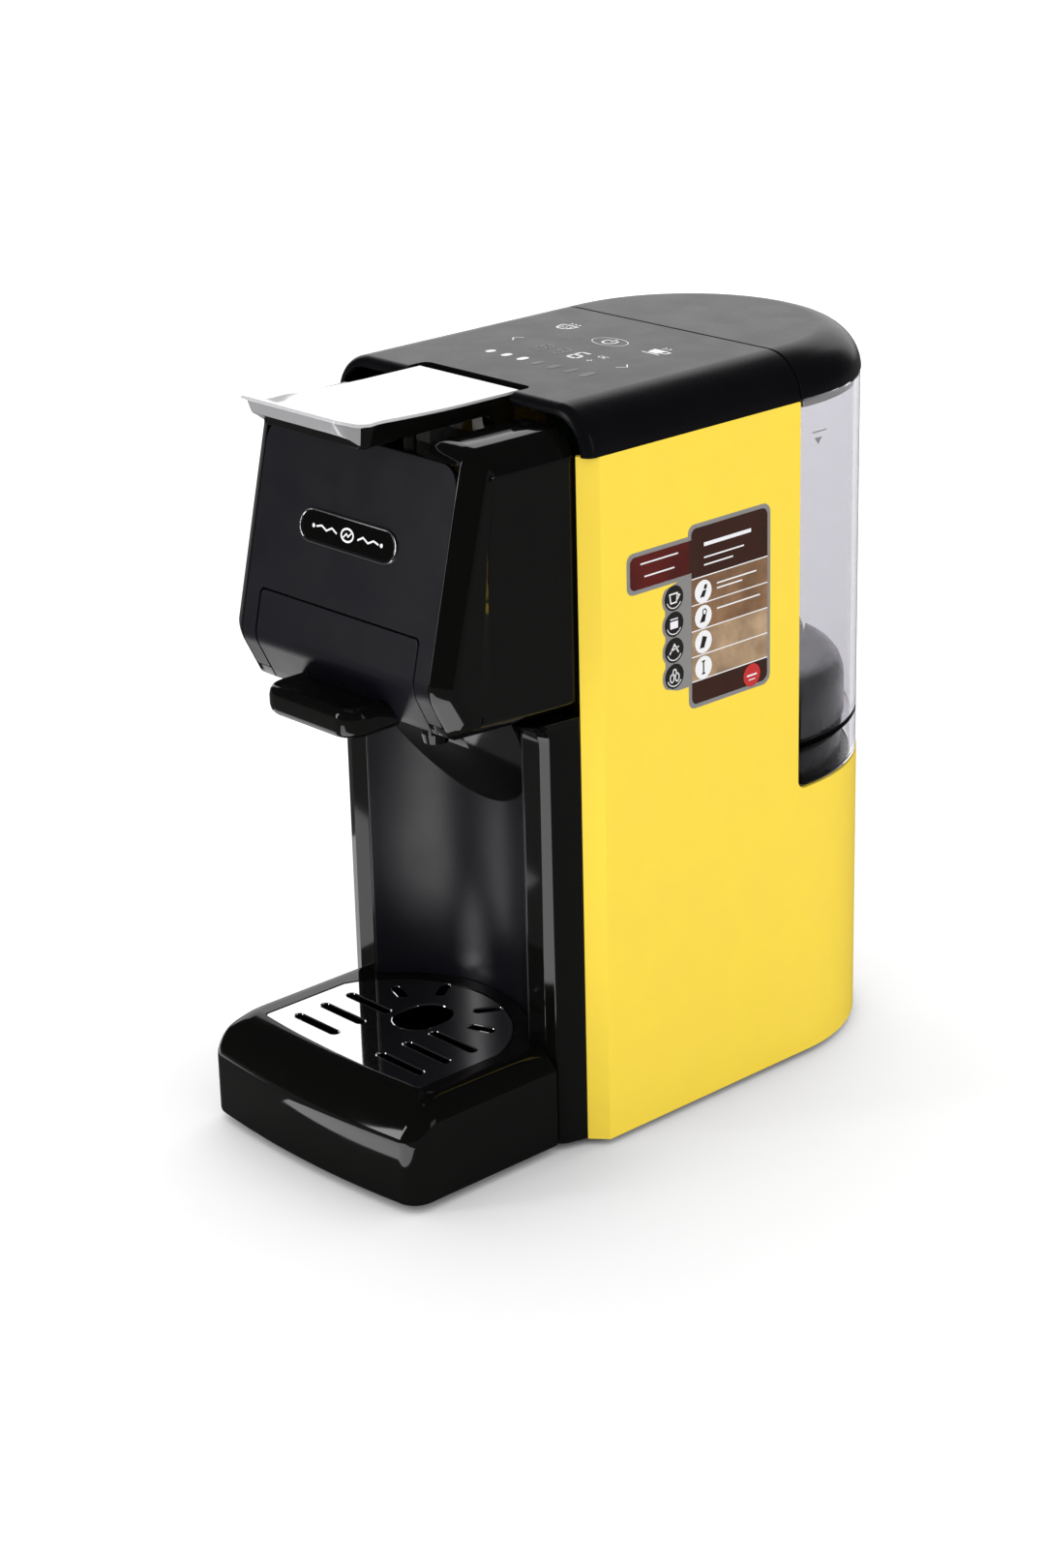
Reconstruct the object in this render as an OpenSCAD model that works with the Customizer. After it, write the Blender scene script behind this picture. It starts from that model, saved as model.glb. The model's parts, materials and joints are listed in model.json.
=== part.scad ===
/* [Body] */
// Width of the whole machine
body_w = 144; // [138:1:176]
// Height of the whole machine, floor to top cover
total_h = 300; // [270:1:360]
// From the origin back to the rear of the shell
rear_y = 143.5; // [136:0.5:174]
// From the origin forward to the front edge of the shell
shell_front = 50; // [48:1:56]
// Wall thickness of the moulded covers
wall = 2.4; // [2:0.1:3]
// Gap between covers that meet
seam = 0.4; // [0.3:0.1:0.8]
// Height of the rubber feet
foot_h = 3; // [3:0.5:6]
// Height of the rounded top cover and tank lid
cover_h = 18; // [16:1:22]

/* [Head] */
// Furthest reach of the head's nose in front of the origin
nose_reach = 115.7; // [112:0.1:120]
// Radius of the nose
nose_r = 12; // [9:1:14]
// Depth of the nose's middle below the shell's top
nose_drop = 77; // [74:1:80]
// Backward lean of the face above the nose
face_lean = 13.2; // [8:0.2:16]
// Backward lean of the chin under the nose
chin_lean = 25.7; // [18:0.1:32]
// Height of the head above the shell's top
crown_h = 10; // [8:1:12]
// Radius of the edge between the face and the head's top
crown_r = 8; // [6:1:10]
// Depth of the chin below the shell's top
chin_drop = 98.5; // [96:0.5:102]
// Width of the bevel beside the face
head_bevel = 5; // [3:0.5:7]
// Width of the face panel
face_w = 109; // [106:1:112]

/* [Drawer] */
// Width of the capsule drawer's front
drawer_w = 92; // [88:1:98]
// Depth of the drawer's top seam below the shell's top
drawer_drop = 59.5; // [58:0.5:62]
// Bore that holds a capsule
capsule_d = 54; // [50:1:57]
// Width of the finger handle
handle_w = 54; // [44:1:62]
// How far the handle stands out in front of the chin
handle_out = 20; // [14:1:24]

/* [Lever] */
// Width of the lever
lever_w = 56.6; // [54:0.2:60]
// From the origin forward to the lever plate's front corner
lever_reach = 120; // [112:1:126]
// Hinge pin diameter
pin_d = 4; // [3:0.5:5]
// Gear module of the pinion and rack
gear_m = 1.5; // [1.4:0.1:1.6]
// Teeth in a full turn of the pinion
gear_n = 12; // [11:1:12]

/* [Piston] */
// Piston stem diameter
stem_d = 28; // [26:1:30]
// Running clearance on the radius of sliding pieces
run_gap = 0.05; // [0.03:0.01:0.08]
// From the origin forward to the capsule's middle
brew_y = 78; // [77:0.5:79]

/* [Drip tray] */
// Height of the drip grille's top
tray_h = 44.5; // [40:0.5:54]
// From the origin forward to the front of the tray
tray_reach = 142.5; // [138:0.5:150]
// Width of the grille
grille_w = 94; // [88:1:98]
// Radius of the grille's rear arc
grille_r = 50; // [48:0.5:51]
// Radius of the hollow column panel
panel_r = 57; // [56:0.5:60]
// Width of the hollow between the column's rails
hollow_w = 92; // [88:1:98]
// Grille thickness
grille_t = 1.6; // [1.2:0.1:2.2]

/* [Water tank] */
// From the origin back to the tank bay's wall
bay_y = 64; // [60:1:70]
// Height of the bay's floor
bay_z = 121; // [110:1:140]
// Wall thickness of the clear tank
tank_wall = 2.4; // [2:0.1:3]
// Height of the tank's floor above the bay's floor
tank_lift = 16; // [14:1:20]

/* [Hidden] */
$fn = 96;
eps = 0.01;
half_w = body_w / 2;
shell_top = total_h - cover_h;
arc_y = rear_y - half_w;
big = 2 * total_h;
// Front strip of the shell: a bevel beside the black frame
strip_x = 6.7;
strip_y = 6;
lip_x = half_w - strip_x;
// Column
rail_in = hollow_w / 2;
rail_front = shell_front + 13;
scoop_y = rail_front + sqrt(panel_r * panel_r - rail_in * rail_in);
column_top = shell_top - chin_drop - 3;
apron_front = rail_front + 6;
apron_h = 54;
// Base
base_t = 3;
base_z = foot_h + 0.2;
base_start = strip_y + wall + 0.6;
tongue_w = 84;
tongue_y = 112;
foot_d = 13;
foot_spots = [[-32, -100], [32, -100], [-42, rear_y - 36], [42, rear_y - 36]];
screw_x = lip_x - 5;
screw_spots = [[-screw_x, -30], [screw_x, -30], [-screw_x, arc_y - 22], [screw_x, arc_y - 22]];
screw_d = 3;
screw_gap = 0.6;
screw_head = [6, 1.2];
screw_post = 8;
post_h = 20;
vent_d = 7;
vent_x = 20;
vent_rows = [-20, 0, 50];
// Cord inlet
cord_z = foot_h + 14;
cord_d = 7;
grommet_d = 10.8;
flange_d = 16;
// Label on the right side
label_t = 0.3;
label_y = 1.5;
label_w = 45.5;
label_h = 74;
label_low = shell_top - 110.4;
tab_w = 32.7;
tab_h = 16.4;
tab_low = label_low + 53.4;
strip_w = 14;
strip_low = label_low + 9.4;
// Head
nose_y = nose_reach - nose_r;
nose_z = shell_top - nose_drop;
head_top = shell_top + crown_h;
head_hw = lip_x - 1.6;
chin_z = shell_top - chin_drop;
drawer_top = shell_top - drawer_drop;
panel_back = brew_y + 12;
drawer_back = brew_y + 20;
spout_y = brew_y - 12;
spout_d = 12;
spout_low = chin_z - 24.5;
spout_slot = 18;
opening_x = head_hw - head_bevel - wall;
panel_t = 3;
channel_x = lever_w / 2 + 5.7;
channel_z = head_top - 6;
face_top = channel_z - 0.3;
badge_w = 56;
badge_h = 13.6;
badge_z = shell_top - 31;
bar_step = 9.2;
badge_rim_w = 1.2;
badge_rim_t = 0.9;
badge_t = 0.6;
// Lever
axis_y = 52;
axis_z = total_h - 9;
pitch_r = gear_m * gear_n / 2;
rack_reach = 0.55 * gear_m;
tooth_reach = 0.8 * gear_m;
backlash = 0.45;
gear_w = 8;
lever_top = total_h - 0.4;
plate_t = 1.4;
lever_back = 43;
ear_r = 6.6;
ear_t = 4;
post_in = 17;
post_t = 6;
notch_w = lever_w + 4;
notch_y = 38;
// Piston
piston_low = drawer_top - 2.2;
seal_t = 5;
piston_d = 42;
piston_t = 8;
stem_top = piston_low + 51;
guide_low = shell_top - 36;
guide_h = 24;
guide_wall = 3;
rack_y = axis_y + pitch_r;
rack_low = guide_low + guide_h - 10;
rack_top = axis_z + 3.5;
rack_t = 6;
needle_d = 3;
// Drawer
drawer_in = drawer_w / 2 - 2;
wing_t = 3;
wing_z = chin_z + 16;
wing_x = drawer_w / 2 - 0.2;
cup_top = piston_low - 0.3;
cup_low = chin_z + 5;
cup_r = capsule_d / 2 + 3;
// Tray
tray_hw = half_w - 9.6;
tray_side = 38;
tray_front_z = 30;
grille_front = 123.5;
grille_y = 97;
grille_z = tray_h - grille_t - 0.3;
tray_corner = 9;
tray_bevel = 6.5;
bow_r = 420;
bow_drop = 3.6;
pocket_z = foot_h + base_t + 2.6;
slot_w = 5;
slot_l = 27;
slot_x = 25.6;
slot_rows = [-112, -98.4, -84.8];
hole_y = -78;
hole_l = 27;
hole_w = 21;
ray_l = 13;
ray_r = 26.5;
ray_turns = [20, 59, 121, 160];
// Tank
tank_gap = 0.4;
tank_front = bay_y + 2;
tank_floor = bay_z + tank_lift;
valve_y = 96;
neck_d = 16;
poppet_d = 12;
poppet_gap = 3;
collar_z = bay_z + poppet_gap + 3.2;
cover_rise = 24;
lid_z = shell_top + seam;
// Inner works
pump_x = -34;
pump_y = 14;
pump_d = 17;
pump_z = base_z + 30;
pump_h = 76;
pump_bore = 2.4;
nozzle_h = 10;
coil_w = 34;
coil_h = 38;
coil_z = base_z + 50;
mount_z = [base_z + 32, base_z + 92];
mount_t = 6;
mount_reach = 24;
mount_post = 8;
mount_post_h = 40;
plunger_d = 10;
plunger_h = 26;
plunger_z = base_z + 52;
meter_x = 32;
meter_y = 20;
meter_z = base_z + base_t + 12;
meter_d = 34;
meter_h = 14;
meter_floor = 2;
meter_post = 16;
meter_port = 7;
axle_d = 2;
bore_d = 3;
outlet_x = 9;
heater_x = 26;
heater_z = shell_top - 110;
heater_size = [64, 30, 60];
heater_back = 44;
heater_port = 12;
heater_post = 22;
fin_t = 3;
fin_h = 4;
fin_step = 11;
board_z = shell_top - 122;
board_y = 54;
board_t = 1.6;
board_post_d = 6;
hose_d = 6;
hose_gap = 0.1;

// Points of an arc in a plane: middle, radius, first and last angle
function arc_points(mid, r, first, last, steps = 12) =
  [for (i = [0:steps]) let (a = first + (last - first) * i / steps) mid + r * [cos(a), sin(a)]];

// Forward position of the face at a height
function face_y(z) =
  -(nose_y + nose_r * cos(face_lean)) + (z - nose_z - nose_r * sin(face_lean)) * tan(face_lean);

// Cylinder along X, from the left end
module bar_x(r, len, at) {
  translate(at) rotate([0, 90, 0]) cylinder(r = r, h = len);
}

// Extrudes a Y-Z outline across the width, centred
module across(w) {
  rotate([90, 0, 90]) translate([0, 0, -w / 2]) linear_extrude(w) children();
}

// Mirrored pair, left and right
module pair() {
  children();
  mirror([1, 0, 0]) children();
}

// Box given by its lowest and highest corners
module span(low, high) {
  translate(low) cube(high - low);
}

// Plan of the body: flat front and round rear, drawn in by a gap
module body_plan(gap) {
  translate([0, arc_y]) circle(r = half_w - gap);
  translate([-half_w + gap, gap - shell_front]) square([body_w - 2 * gap, arc_y + shell_front - gap]);
}

// Plan of the shell's outside, with its bevelled front strips
module shell_plan() {
  difference() {
    body_plan(0);
    pair() polygon([[half_w + 1, -shell_front - 1], [lip_x - 1, -shell_front - 1],
      [lip_x, -shell_front], [half_w, strip_y - shell_front], [half_w + 1, strip_y - shell_front]]);
  }
}

// Plan of the shell's inside, following the strips at one wall's depth
module shell_inside() {
  difference() {
    body_plan(wall);
    pair() polygon([[half_w, -shell_front], [lip_x - wall, -shell_front],
      [lip_x - wall / 2, wall - shell_front], [half_w - wall, strip_y + wall / 2 - shell_front],
      [half_w, strip_y + wall / 2 - shell_front]]);
  }
}

module base_plate() {
  color([0.07, 0.07, 0.07]) difference() {
    union() {
      translate([0, 0, base_z]) linear_extrude(base_t) difference() {
        body_plan(wall + seam);
        translate([-half_w, -shell_front]) square([body_w, base_start]);
      }
      span([-tongue_w / 2, -tongue_y, base_z],
        [tongue_w / 2, base_start + 1 - shell_front, base_z + base_t]);
      for (s = [-1, 1]) translate([pump_x + s * mount_reach, pump_y, base_z])
        cylinder(d = mount_post, h = mount_post_h);
      translate([meter_x, meter_y, base_z]) cylinder(d = meter_post, h = meter_z - base_z);
    }
    for (p = screw_spots) translate([p.x, p.y, 0]) cylinder(d = screw_d + screw_gap, h = big);
    for (s = [-1, 1], y = vent_rows) translate([s * vent_x, y, 0]) cylinder(d = vent_d, h = pocket_z);
  }
}

module outer_shell() {
  color([0.98, 0.85, 0.22]) difference() {
    union() {
      translate([0, 0, foot_h]) linear_extrude(shell_top - foot_h) difference() {
        shell_plan();
        shell_inside();
        translate([-lip_x, -shell_front - 1]) square([2 * lip_x, 8]);
      }
      for (p = screw_spots) {
        translate([p.x, p.y, base_z + base_t]) cylinder(d = screw_post, h = post_h);
        translate([p.x > 0 ? p.x : wall - half_w - eps, p.y - 1, base_z + base_t])
          cube([half_w - wall - abs(p.x) + 2 * eps, 2, post_h]);
      }
    }
    for (p = screw_spots) translate([p.x, p.y, 0]) cylinder(d = screw_d, h = foot_h + post_h);
    span([-half_w - 1, bay_y, bay_z], [half_w + 1, rear_y + 1, total_h]);
    translate([0, rear_y - 4 * wall, cord_z]) rotate([-90, 0, 0])
      cylinder(d = grommet_d + 0.2, h = 8 * wall);
  }
}

// Plan of one rail beside the hollow column panel
module rail_plan() {
  polygon([[rail_in + 0.2, -rail_front], [half_w - 16.5, -rail_front],
    [half_w - 11.5, 1.5 - rail_front], [half_w - 9.4, 4 - rail_front],
    [lip_x - 0.3, -shell_front], [lip_x - 0.3, wall + 0.6 - shell_front],
    [rail_in + 0.2, wall + 0.6 - shell_front]]);
}

module front_frame() {
  color([0.04, 0.04, 0.04]) {
    translate([0, 0, foot_h]) linear_extrude(column_top - 1.5 - foot_h) pair() rail_plan();
    difference() {
      span([0.3 - lip_x, 0.2 - shell_front, column_top - 1.5 - eps],
        [lip_x - 0.3, wall + 0.6 - shell_front, shell_top - 0.3]);
      span([-opening_x, -rail_front, column_top + 4], [opening_x, 0, shell_top - 9]);
      span([-notch_w / 2, -rail_front, column_top + 10], [notch_w / 2, 0, big]);
    }
  }
}

module column_panel() {
  color([0.13, 0.12, 0.15]) translate([0, 0, foot_h + base_t + 0.6])
    linear_extrude(column_top - 2.5 - foot_h - base_t) difference() {
      translate([0, -scoop_y]) circle(r = panel_r + wall, $fn = 180);
      translate([0, -scoop_y]) circle(r = panel_r, $fn = 180);
      translate([-half_w, -3 * scoop_y]) square([body_w, 3 * scoop_y - rail_front]);
      pair() translate([rail_in, -3 * scoop_y]) square([half_w, 4 * scoop_y]);
    }
}

// Sloping glossy fairing that closes the top of the hollow column
module apron() {
  apron_back = scoop_y - panel_r;
  pocket_r = spout_d / 2 + 2;
  color([0.03, 0.03, 0.03]) difference() {
    intersection() {
      across(2 * rail_in - 0.6) polygon([[-apron_front, column_top - 1.6],
        [-apron_back, column_top - 1.6], [-apron_back, column_top - apron_h]]);
      translate([0, -scoop_y, 0]) cylinder(r = panel_r - 0.2, h = big, $fn = 180);
    }
    translate([0, -spout_y, spout_low - 3]) cylinder(r = pocket_r, h = apron_h);
    span([-pocket_r, -scoop_y, spout_low - 3], [pocket_r, -spout_y, column_top]);
  }
}

// Side outline of the head, drawn in by a gap
module head_outline(gap) {
  crown_z = head_top - crown_r;
  crown_y = face_y(crown_z) + crown_r / cos(face_lean);
  polygon(concat([[-shell_front, head_top - gap]],
    arc_points([crown_y, crown_z], crown_r - gap, 90, 180 - face_lean, 6),
    arc_points([-nose_y, nose_z], nose_r - gap, 180 - face_lean, 180 + chin_lean, 8),
    [[-nose_y - nose_r * cos(chin_lean) + 7.4 + gap, chin_z + 1.6 + gap],
     [-nose_y - nose_r * cos(chin_lean) + 10 + gap, chin_z + gap],
     [-shell_front, column_top + gap]]));
}

// Solid head with bevelled sides, drawn in by a gap; its back runs to the frame
module head_solid(gap) {
  hull() {
    across(face_w + 1 - gap) head_outline(gap);
    across(2 * (head_hw - gap)) head_outline(gap + head_bevel);
  }
}

module head_housing() {
  drawer_gap = drawer_w / 2 + 0.3;
  color([0.03, 0.03, 0.03]) difference() {
    head_solid(0);
    intersection() {
      head_solid(wall);
      span([-half_w, -big, chin_z - 10], [half_w, 0, channel_z - wall]);
    }
    span([wall - head_hw, -shell_front - 1, column_top + 5],
      [head_hw - wall, 1, channel_z - wall]);
    span([-channel_x, -big, channel_z], [channel_x, 0, big]);
    face_slab(face_w + 0.6, chin_z + wall + 3, face_top + 0.3, panel_t + 0.2, panel_back - 0.6, 2);
    span([-drawer_gap, -2 * nose_reach, chin_z - 1], [drawer_gap, -drawer_back, drawer_top + 0.3]);
    span([-spout_slot / 2, -2 * nose_reach, chin_z - 8], [spout_slot / 2, -spout_y, drawer_top]);
    span([-notch_w / 2, -axis_y - 10, shell_top - 3], [notch_w / 2, 0, big]);
    span([-gear_w / 2 - 2, -rack_y - rack_t - 4, shell_top - 3], [gear_w / 2 + 2, -axis_y, big]);
    translate([0, -spout_y, 0]) cylinder(d = spout_slot, h = drawer_top);
  }
}

// Slab cut from the front of the head between two heights, from a little outside it if asked
module face_slab(w, low, high, t, back, out = 0) {
  intersection() {
    across(w) difference() {
      head_outline(-out);
      head_outline(t);
    }
    span([-half_w, -2 * nose_reach, low], [half_w, -back - 0.3, high]);
  }
}

module face_panel() {
  color([0.12, 0.11, 0.14]) difference() {
    face_slab(face_w, chin_z + wall + 3.3, face_top, panel_t, panel_back);
    span([-drawer_w / 2 - 0.3, -2 * nose_reach, 0], [drawer_w / 2 + 0.3, 0, drawer_top + 0.3]);
  }
}

// Places a flat shape on the leaning face, at a height
module on_face(z) {
  translate([0, face_y(z), z]) rotate([90 - face_lean, 0, 0]) children();
}

module stadium(w, h) {
  x = (w - h) / 2;
  polygon(concat(arc_points([x, 0], h / 2, -90, 90), arc_points([-x, 0], h / 2, 90, 270)));
}

module badge_rim() {
  color([0.8, 0.8, 0.8]) on_face(badge_z) translate([0, 0, eps]) linear_extrude(badge_rim_t) difference() {
    stadium(badge_w, badge_h);
    stadium(badge_w - 2 * badge_rim_w, badge_h - 2 * badge_rim_w);
  }
}

module badge_plate() {
  color([0.05, 0.05, 0.05]) on_face(badge_z) translate([0, 0, eps]) linear_extrude(badge_t)
    stadium(badge_w - 2 * badge_rim_w - 0.1, badge_h - 2 * badge_rim_w - 0.1);
}

// Cross-section of the rounded top, drawn in by a gap
module top_section(gap) {
  r = cover_h - gap;
  x = half_w - cover_h;
  translate([-x, -1 + gap]) square([2 * x, cover_h + 1 - 2 * gap]);
  intersection() {
    pair() translate([x, 0]) circle(r = r, $fn = 128);
    translate([-half_w, 0]) square([body_w, cover_h]);
  }
}

module top_cover() {
  color([0.1, 0.1, 0.11]) {
    difference() {
      translate([0, bay_y - seam, shell_top + 0.1]) rotate([90, 0, 0])
        linear_extrude(bay_y - seam + shell_front) intersection() {
          top_section(0);
          translate([-half_w, 0]) square([body_w, cover_h - 0.1]);
        }
      translate([0, bay_y - seam - wall, shell_top]) rotate([90, 0, 0])
        linear_extrude(bay_y - seam + shell_front - 2 * wall) top_section(wall);
      span([-notch_w / 2, -shell_front - 1, 0], [notch_w / 2, -notch_y, big]);
      span([wall - half_w, -shell_front - 1, 0], [half_w - wall, wall + 1 - shell_front, shell_top + 8]);
    }
    for (s = [-1, 1], y = [-12, 44]) translate([s * 40, y, total_h - wall - 7])
      cylinder(d = 6, h = 7 + eps);
  }
}

module display_board() {
  color([0.05, 0.3, 0.15]) {
    low = total_h - wall - 7;
    span([-45, -18, low - board_t], [45, 50, low]);
    for (i = [-3:3]) span([bar_step * i - 2, -13, low - eps], [bar_step * i + 2, -9, low + 2]);
    span([-20, 2, low - eps], [20, 16, low + 5]);
  }
}

// Printed label on the right side: a tall block, a tab at its upper front and a strip below the tab
module side_label() {
  right = label_y + label_w;
  top = label_low + label_h;
  left = right - label_w - tab_w;
  strip = label_y - strip_w;
  color([0.3, 0.2, 0.17]) translate([half_w, 0, 0]) rotate([90, 0, 90]) linear_extrude(label_t)
    polygon([[label_y, label_low], [right, label_low], [right, top], [label_y, top],
      [label_y, tab_low + tab_h], [left, tab_low + tab_h], [left, tab_low], [strip, tab_low],
      [strip, strip_low], [label_y, strip_low]]);
}

module tank_bay() {
  color([0.06, 0.06, 0.06]) {
    difference() {
      union() {
        intersection() {
          span([-half_w, bay_y - wall - seam, bay_z - wall], [half_w, bay_y - seam, shell_top - 0.3]);
          linear_extrude(big) body_plan(wall + seam);
        }
        translate([0, 0, bay_z - wall]) linear_extrude(wall) intersection() {
          body_plan(wall + seam);
          translate([-half_w, bay_y - seam - 1]) square([body_w, rear_y]);
        }
      }
      translate([0, valve_y, 0]) cylinder(d = hose_d + 0.6, h = big);
    }
    // Posts for the heater and for the control board
    for (s = [-1, 1]) translate([heater_x + s * heater_post, heater_back, heater_z + heater_size.z / 2])
      rotate([-90, 0, 0]) cylinder(d = mount_post, h = bay_y - wall - seam - heater_back + eps);
    for (x = [-58, -16], z = [8, 92]) translate([x, board_y + board_t, board_z + z]) rotate([-90, 0, 0])
      cylinder(d = board_post_d, h = bay_y - wall - seam - board_y - board_t + eps);
  }
}

module tank_seat() {
  seat_gap = tank_wall + 4;
  color([0.05, 0.05, 0.05]) difference() {
    union() {
      translate([0, 0, bay_z + eps]) linear_extrude(tank_lift - 4) intersection() {
        body_plan(seat_gap);
        translate([-half_w, tank_front + tank_wall + 2]) square([body_w, rear_y]);
      }
      translate([0, valve_y, bay_z - 8]) cylinder(d = hose_d, h = 8 + 2 * eps);
    }
    translate([0, valve_y, bay_z + 3]) cylinder(d = neck_d + 6, h = tank_lift);
    translate([0, valve_y, bay_z - 10]) cylinder(d = 3, h = tank_lift);
  }
}

module dock_seal() {
  color([0.6, 0.2, 0.15]) translate([0, valve_y, bay_z + 5.5]) rotate_extrude()
    translate([neck_d / 2 + 1.5, 0]) square([1.4, 4]);
}

module rubber_feet() {
  color([0.15, 0.15, 0.15]) for (p = foot_spots) translate([p.x, p.y, 0])
    cylinder(d = foot_d, h = base_z);
}

module base_screws() {
  color([0.7, 0.7, 0.7]) for (p = screw_spots) translate([p.x, p.y, 0]) {
    translate([0, 0, base_z - screw_head[1]]) cylinder(d = screw_head[0], h = screw_head[1]);
    translate([0, 0, base_z - 0.1]) cylinder(d = screw_d - eps, h = 12);
  }
}

module cord_grommet() {
  color([0.1, 0.1, 0.1]) translate([0, rear_y, cord_z]) rotate([90, 0, 0]) difference() {
    union() {
      translate([0, 0, -1]) cylinder(d = flange_d, h = 1);
      translate([0, 0, -eps]) cylinder(d = grommet_d, h = wall + 3);
      translate([0, 0, wall + 1]) cylinder(d = flange_d - 2, h = 2);
    }
    translate([0, 0, -3]) cylinder(d = cord_d, h = 8 * wall);
  }
}

module pump_body() {
  color([0.9, 0.88, 0.8]) translate([pump_x, pump_y, 0]) difference() {
    union() {
      translate([0, 0, pump_z]) cylinder(d = pump_d, h = pump_h);
      translate([0, 0, pump_z - nozzle_h]) cylinder(d = hose_d, h = nozzle_h + eps);
      translate([0, 0, pump_z + pump_h - eps]) cylinder(d = hose_d, h = nozzle_h);
    }
    translate([0, 0, pump_z + 6]) cylinder(d = plunger_d + 2 * run_gap, h = 60);
    translate([0, 0, base_z]) cylinder(d = pump_bore, h = big);
  }
}

module pump_coil() {
  color([0.75, 0.35, 0.1]) translate([pump_x, pump_y, coil_z]) difference() {
    translate([-coil_w / 2, -coil_w / 2, 0]) cube([coil_w, coil_w, coil_h]);
    translate([0, 0, -1]) cylinder(d = pump_d + 0.1, h = coil_h + 2);
  }
}

module pump_mounts() {
  foot_w = 2 * mount_reach + 14;
  color([0.1, 0.1, 0.1]) for (z = mount_z) translate([pump_x, pump_y, z])
    difference() {
      union() {
        cylinder(d = pump_d + 8, h = mount_t);
        if (z == mount_z[0]) translate([-foot_w / 2, -7, 0]) cube([foot_w, 14, mount_t]);
      }
      translate([0, 0, -1]) cylinder(d = pump_d + 0.1, h = mount_t + 2);
      for (s = [-1, 1]) translate([s * mount_reach, 0, -1]) cylinder(d = mount_post + 0.1, h = mount_t + 2);
    }
}

module pump_plunger() {
  color([0.7, 0.7, 0.72]) translate([pump_x, pump_y, plunger_z]) difference() {
    cylinder(d = plunger_d, h = plunger_h);
    translate([0, 0, -1]) cylinder(d = pump_bore, h = plunger_h + 2);
  }
}

// Helical spring: wire rings swept by a rule
module helix(r, wire, turns, h) {
  steps = 14;
  sides = 6;
  rings = turns * steps;
  ring_points = [for (i = [0:rings], k = [0:sides - 1])
    let (a = 360 * i / steps, b = 360 * k / sides, d = r + wire / 2 * cos(b))
    [d * cos(a), d * sin(a), wire / 2 + (h - wire) * i / rings + wire / 2 * sin(b)]];
  walls = [for (i = [0:rings - 1], k = [0:sides - 1]) let (n = (k + 1) % sides)
    [i * sides + k, i * sides + n, (i + 1) * sides + n, (i + 1) * sides + k]];
  ends = [[for (k = [sides - 1:-1:0]) k], [for (k = [0:sides - 1]) rings * sides + k]];
  polyhedron(ring_points, concat(walls, ends));
}

module pump_spring() {
  low = pump_z + 6.4;
  color([0.8, 0.8, 0.8]) translate([pump_x, pump_y, low])
    helix(plunger_d / 2 - 1, 1, 5, plunger_z - 0.3 - low);
}

module heater_block() {
  color([0.72, 0.72, 0.7]) translate([heater_x - heater_size.x / 2, heater_back - heater_size.y, heater_z]) {
    cube(heater_size);
    for (i = [0:5]) translate([fin_t + fin_step * i, -fin_h, 4])
      cube([fin_t, fin_h + eps, heater_size.z - 8]);
    translate([heater_port, heater_size.y / 2, -nozzle_h]) cylinder(d = hose_d, h = nozzle_h + eps);
    translate([heater_port, heater_size.y / 2, heater_size.z - eps]) cylinder(d = hose_d, h = 8);
  }
}

module thermostats() {
  tab = 12;
  cap_d = 16;
  cap_h = 5;
  y = heater_back - 10;
  color([0.85, 0.8, 0.6]) for (x = [2, 24]) {
    translate([heater_x + x, y, heater_z + heater_size.z + eps]) cylinder(d = cap_d, h = cap_h);
    translate([heater_x + x - tab / 2, y - 1, heater_z + heater_size.z + cap_h]) cube([tab, 2, cap_h]);
  }
}

// Board with a transformer, a relay and three capacitors on its front
module control_board() {
  deep = board_y + eps;
  color([0.05, 0.3, 0.15]) {
    span([-62, board_y, board_z + 4], [-12, board_y + board_t, board_z + 96]);
    span([-56, board_y - 14, board_z + 12], [-36, deep, board_z + 34]);
    span([-30, board_y - 10, board_z + 14], [-18, deep, board_z + 44]);
    for (z = [52, 66, 80]) span([-54, board_y - 7, board_z + z], [-42, deep, board_z + z + 9]);
  }
}

module flow_meter_body() {
  color([0.92, 0.92, 0.9]) translate([meter_x, meter_y, meter_z]) {
    difference() {
      union() {
        cylinder(d = meter_d, h = meter_h);
        translate([0, 0, meter_port]) rotate([90, 0, 180]) cylinder(d = hose_d, h = meter_d / 2 + nozzle_h);
      }
      translate([0, 0, meter_floor]) cylinder(d = meter_d - 4, h = meter_h);
      translate([0, 0, meter_port]) rotate([90, 0, 180]) cylinder(d = bore_d, h = big);
    }
    cylinder(d = axle_d, h = meter_h - 2);
  }
}

module flow_meter_lid() {
  lid_t = 3;
  color([0.85, 0.85, 0.85]) translate([meter_x, meter_y, meter_z + meter_h + eps]) difference() {
    union() {
      cylinder(d = meter_d, h = lid_t);
      translate([-outlet_x, 0, lid_t - eps]) cylinder(d = hose_d, h = 9);
    }
    translate([-outlet_x, 0, -1]) cylinder(d = bore_d, h = 20);
  }
}

module flow_rotor() {
  color([0.2, 0.3, 0.7]) translate([meter_x, meter_y, meter_z + 3]) difference() {
    union() {
      cylinder(d = 7, h = 8);
      for (a = [0:60:300]) rotate([0, 0, a]) translate([0, -0.8, 1]) cube([12, 1.6, 6]);
    }
    translate([0, 0, -1]) cylinder(d = axle_d + 2 * run_gap, h = 12);
  }
}

// Hose along straight runs with round elbows
module hose(points) {
  color([0.85, 0.85, 0.82]) for (i = [0:len(points) - 2]) {
    run = points[i + 1] - points[i];
    long = norm(run);
    translate(points[i]) rotate([0, acos(run.z / long), atan2(run.y, run.x)])
      cylinder(d = hose_d, h = long, $fn = 32);
    if (i > 0) translate(points[i]) sphere(d = hose_d, $fn = 32);
  }
}

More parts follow.
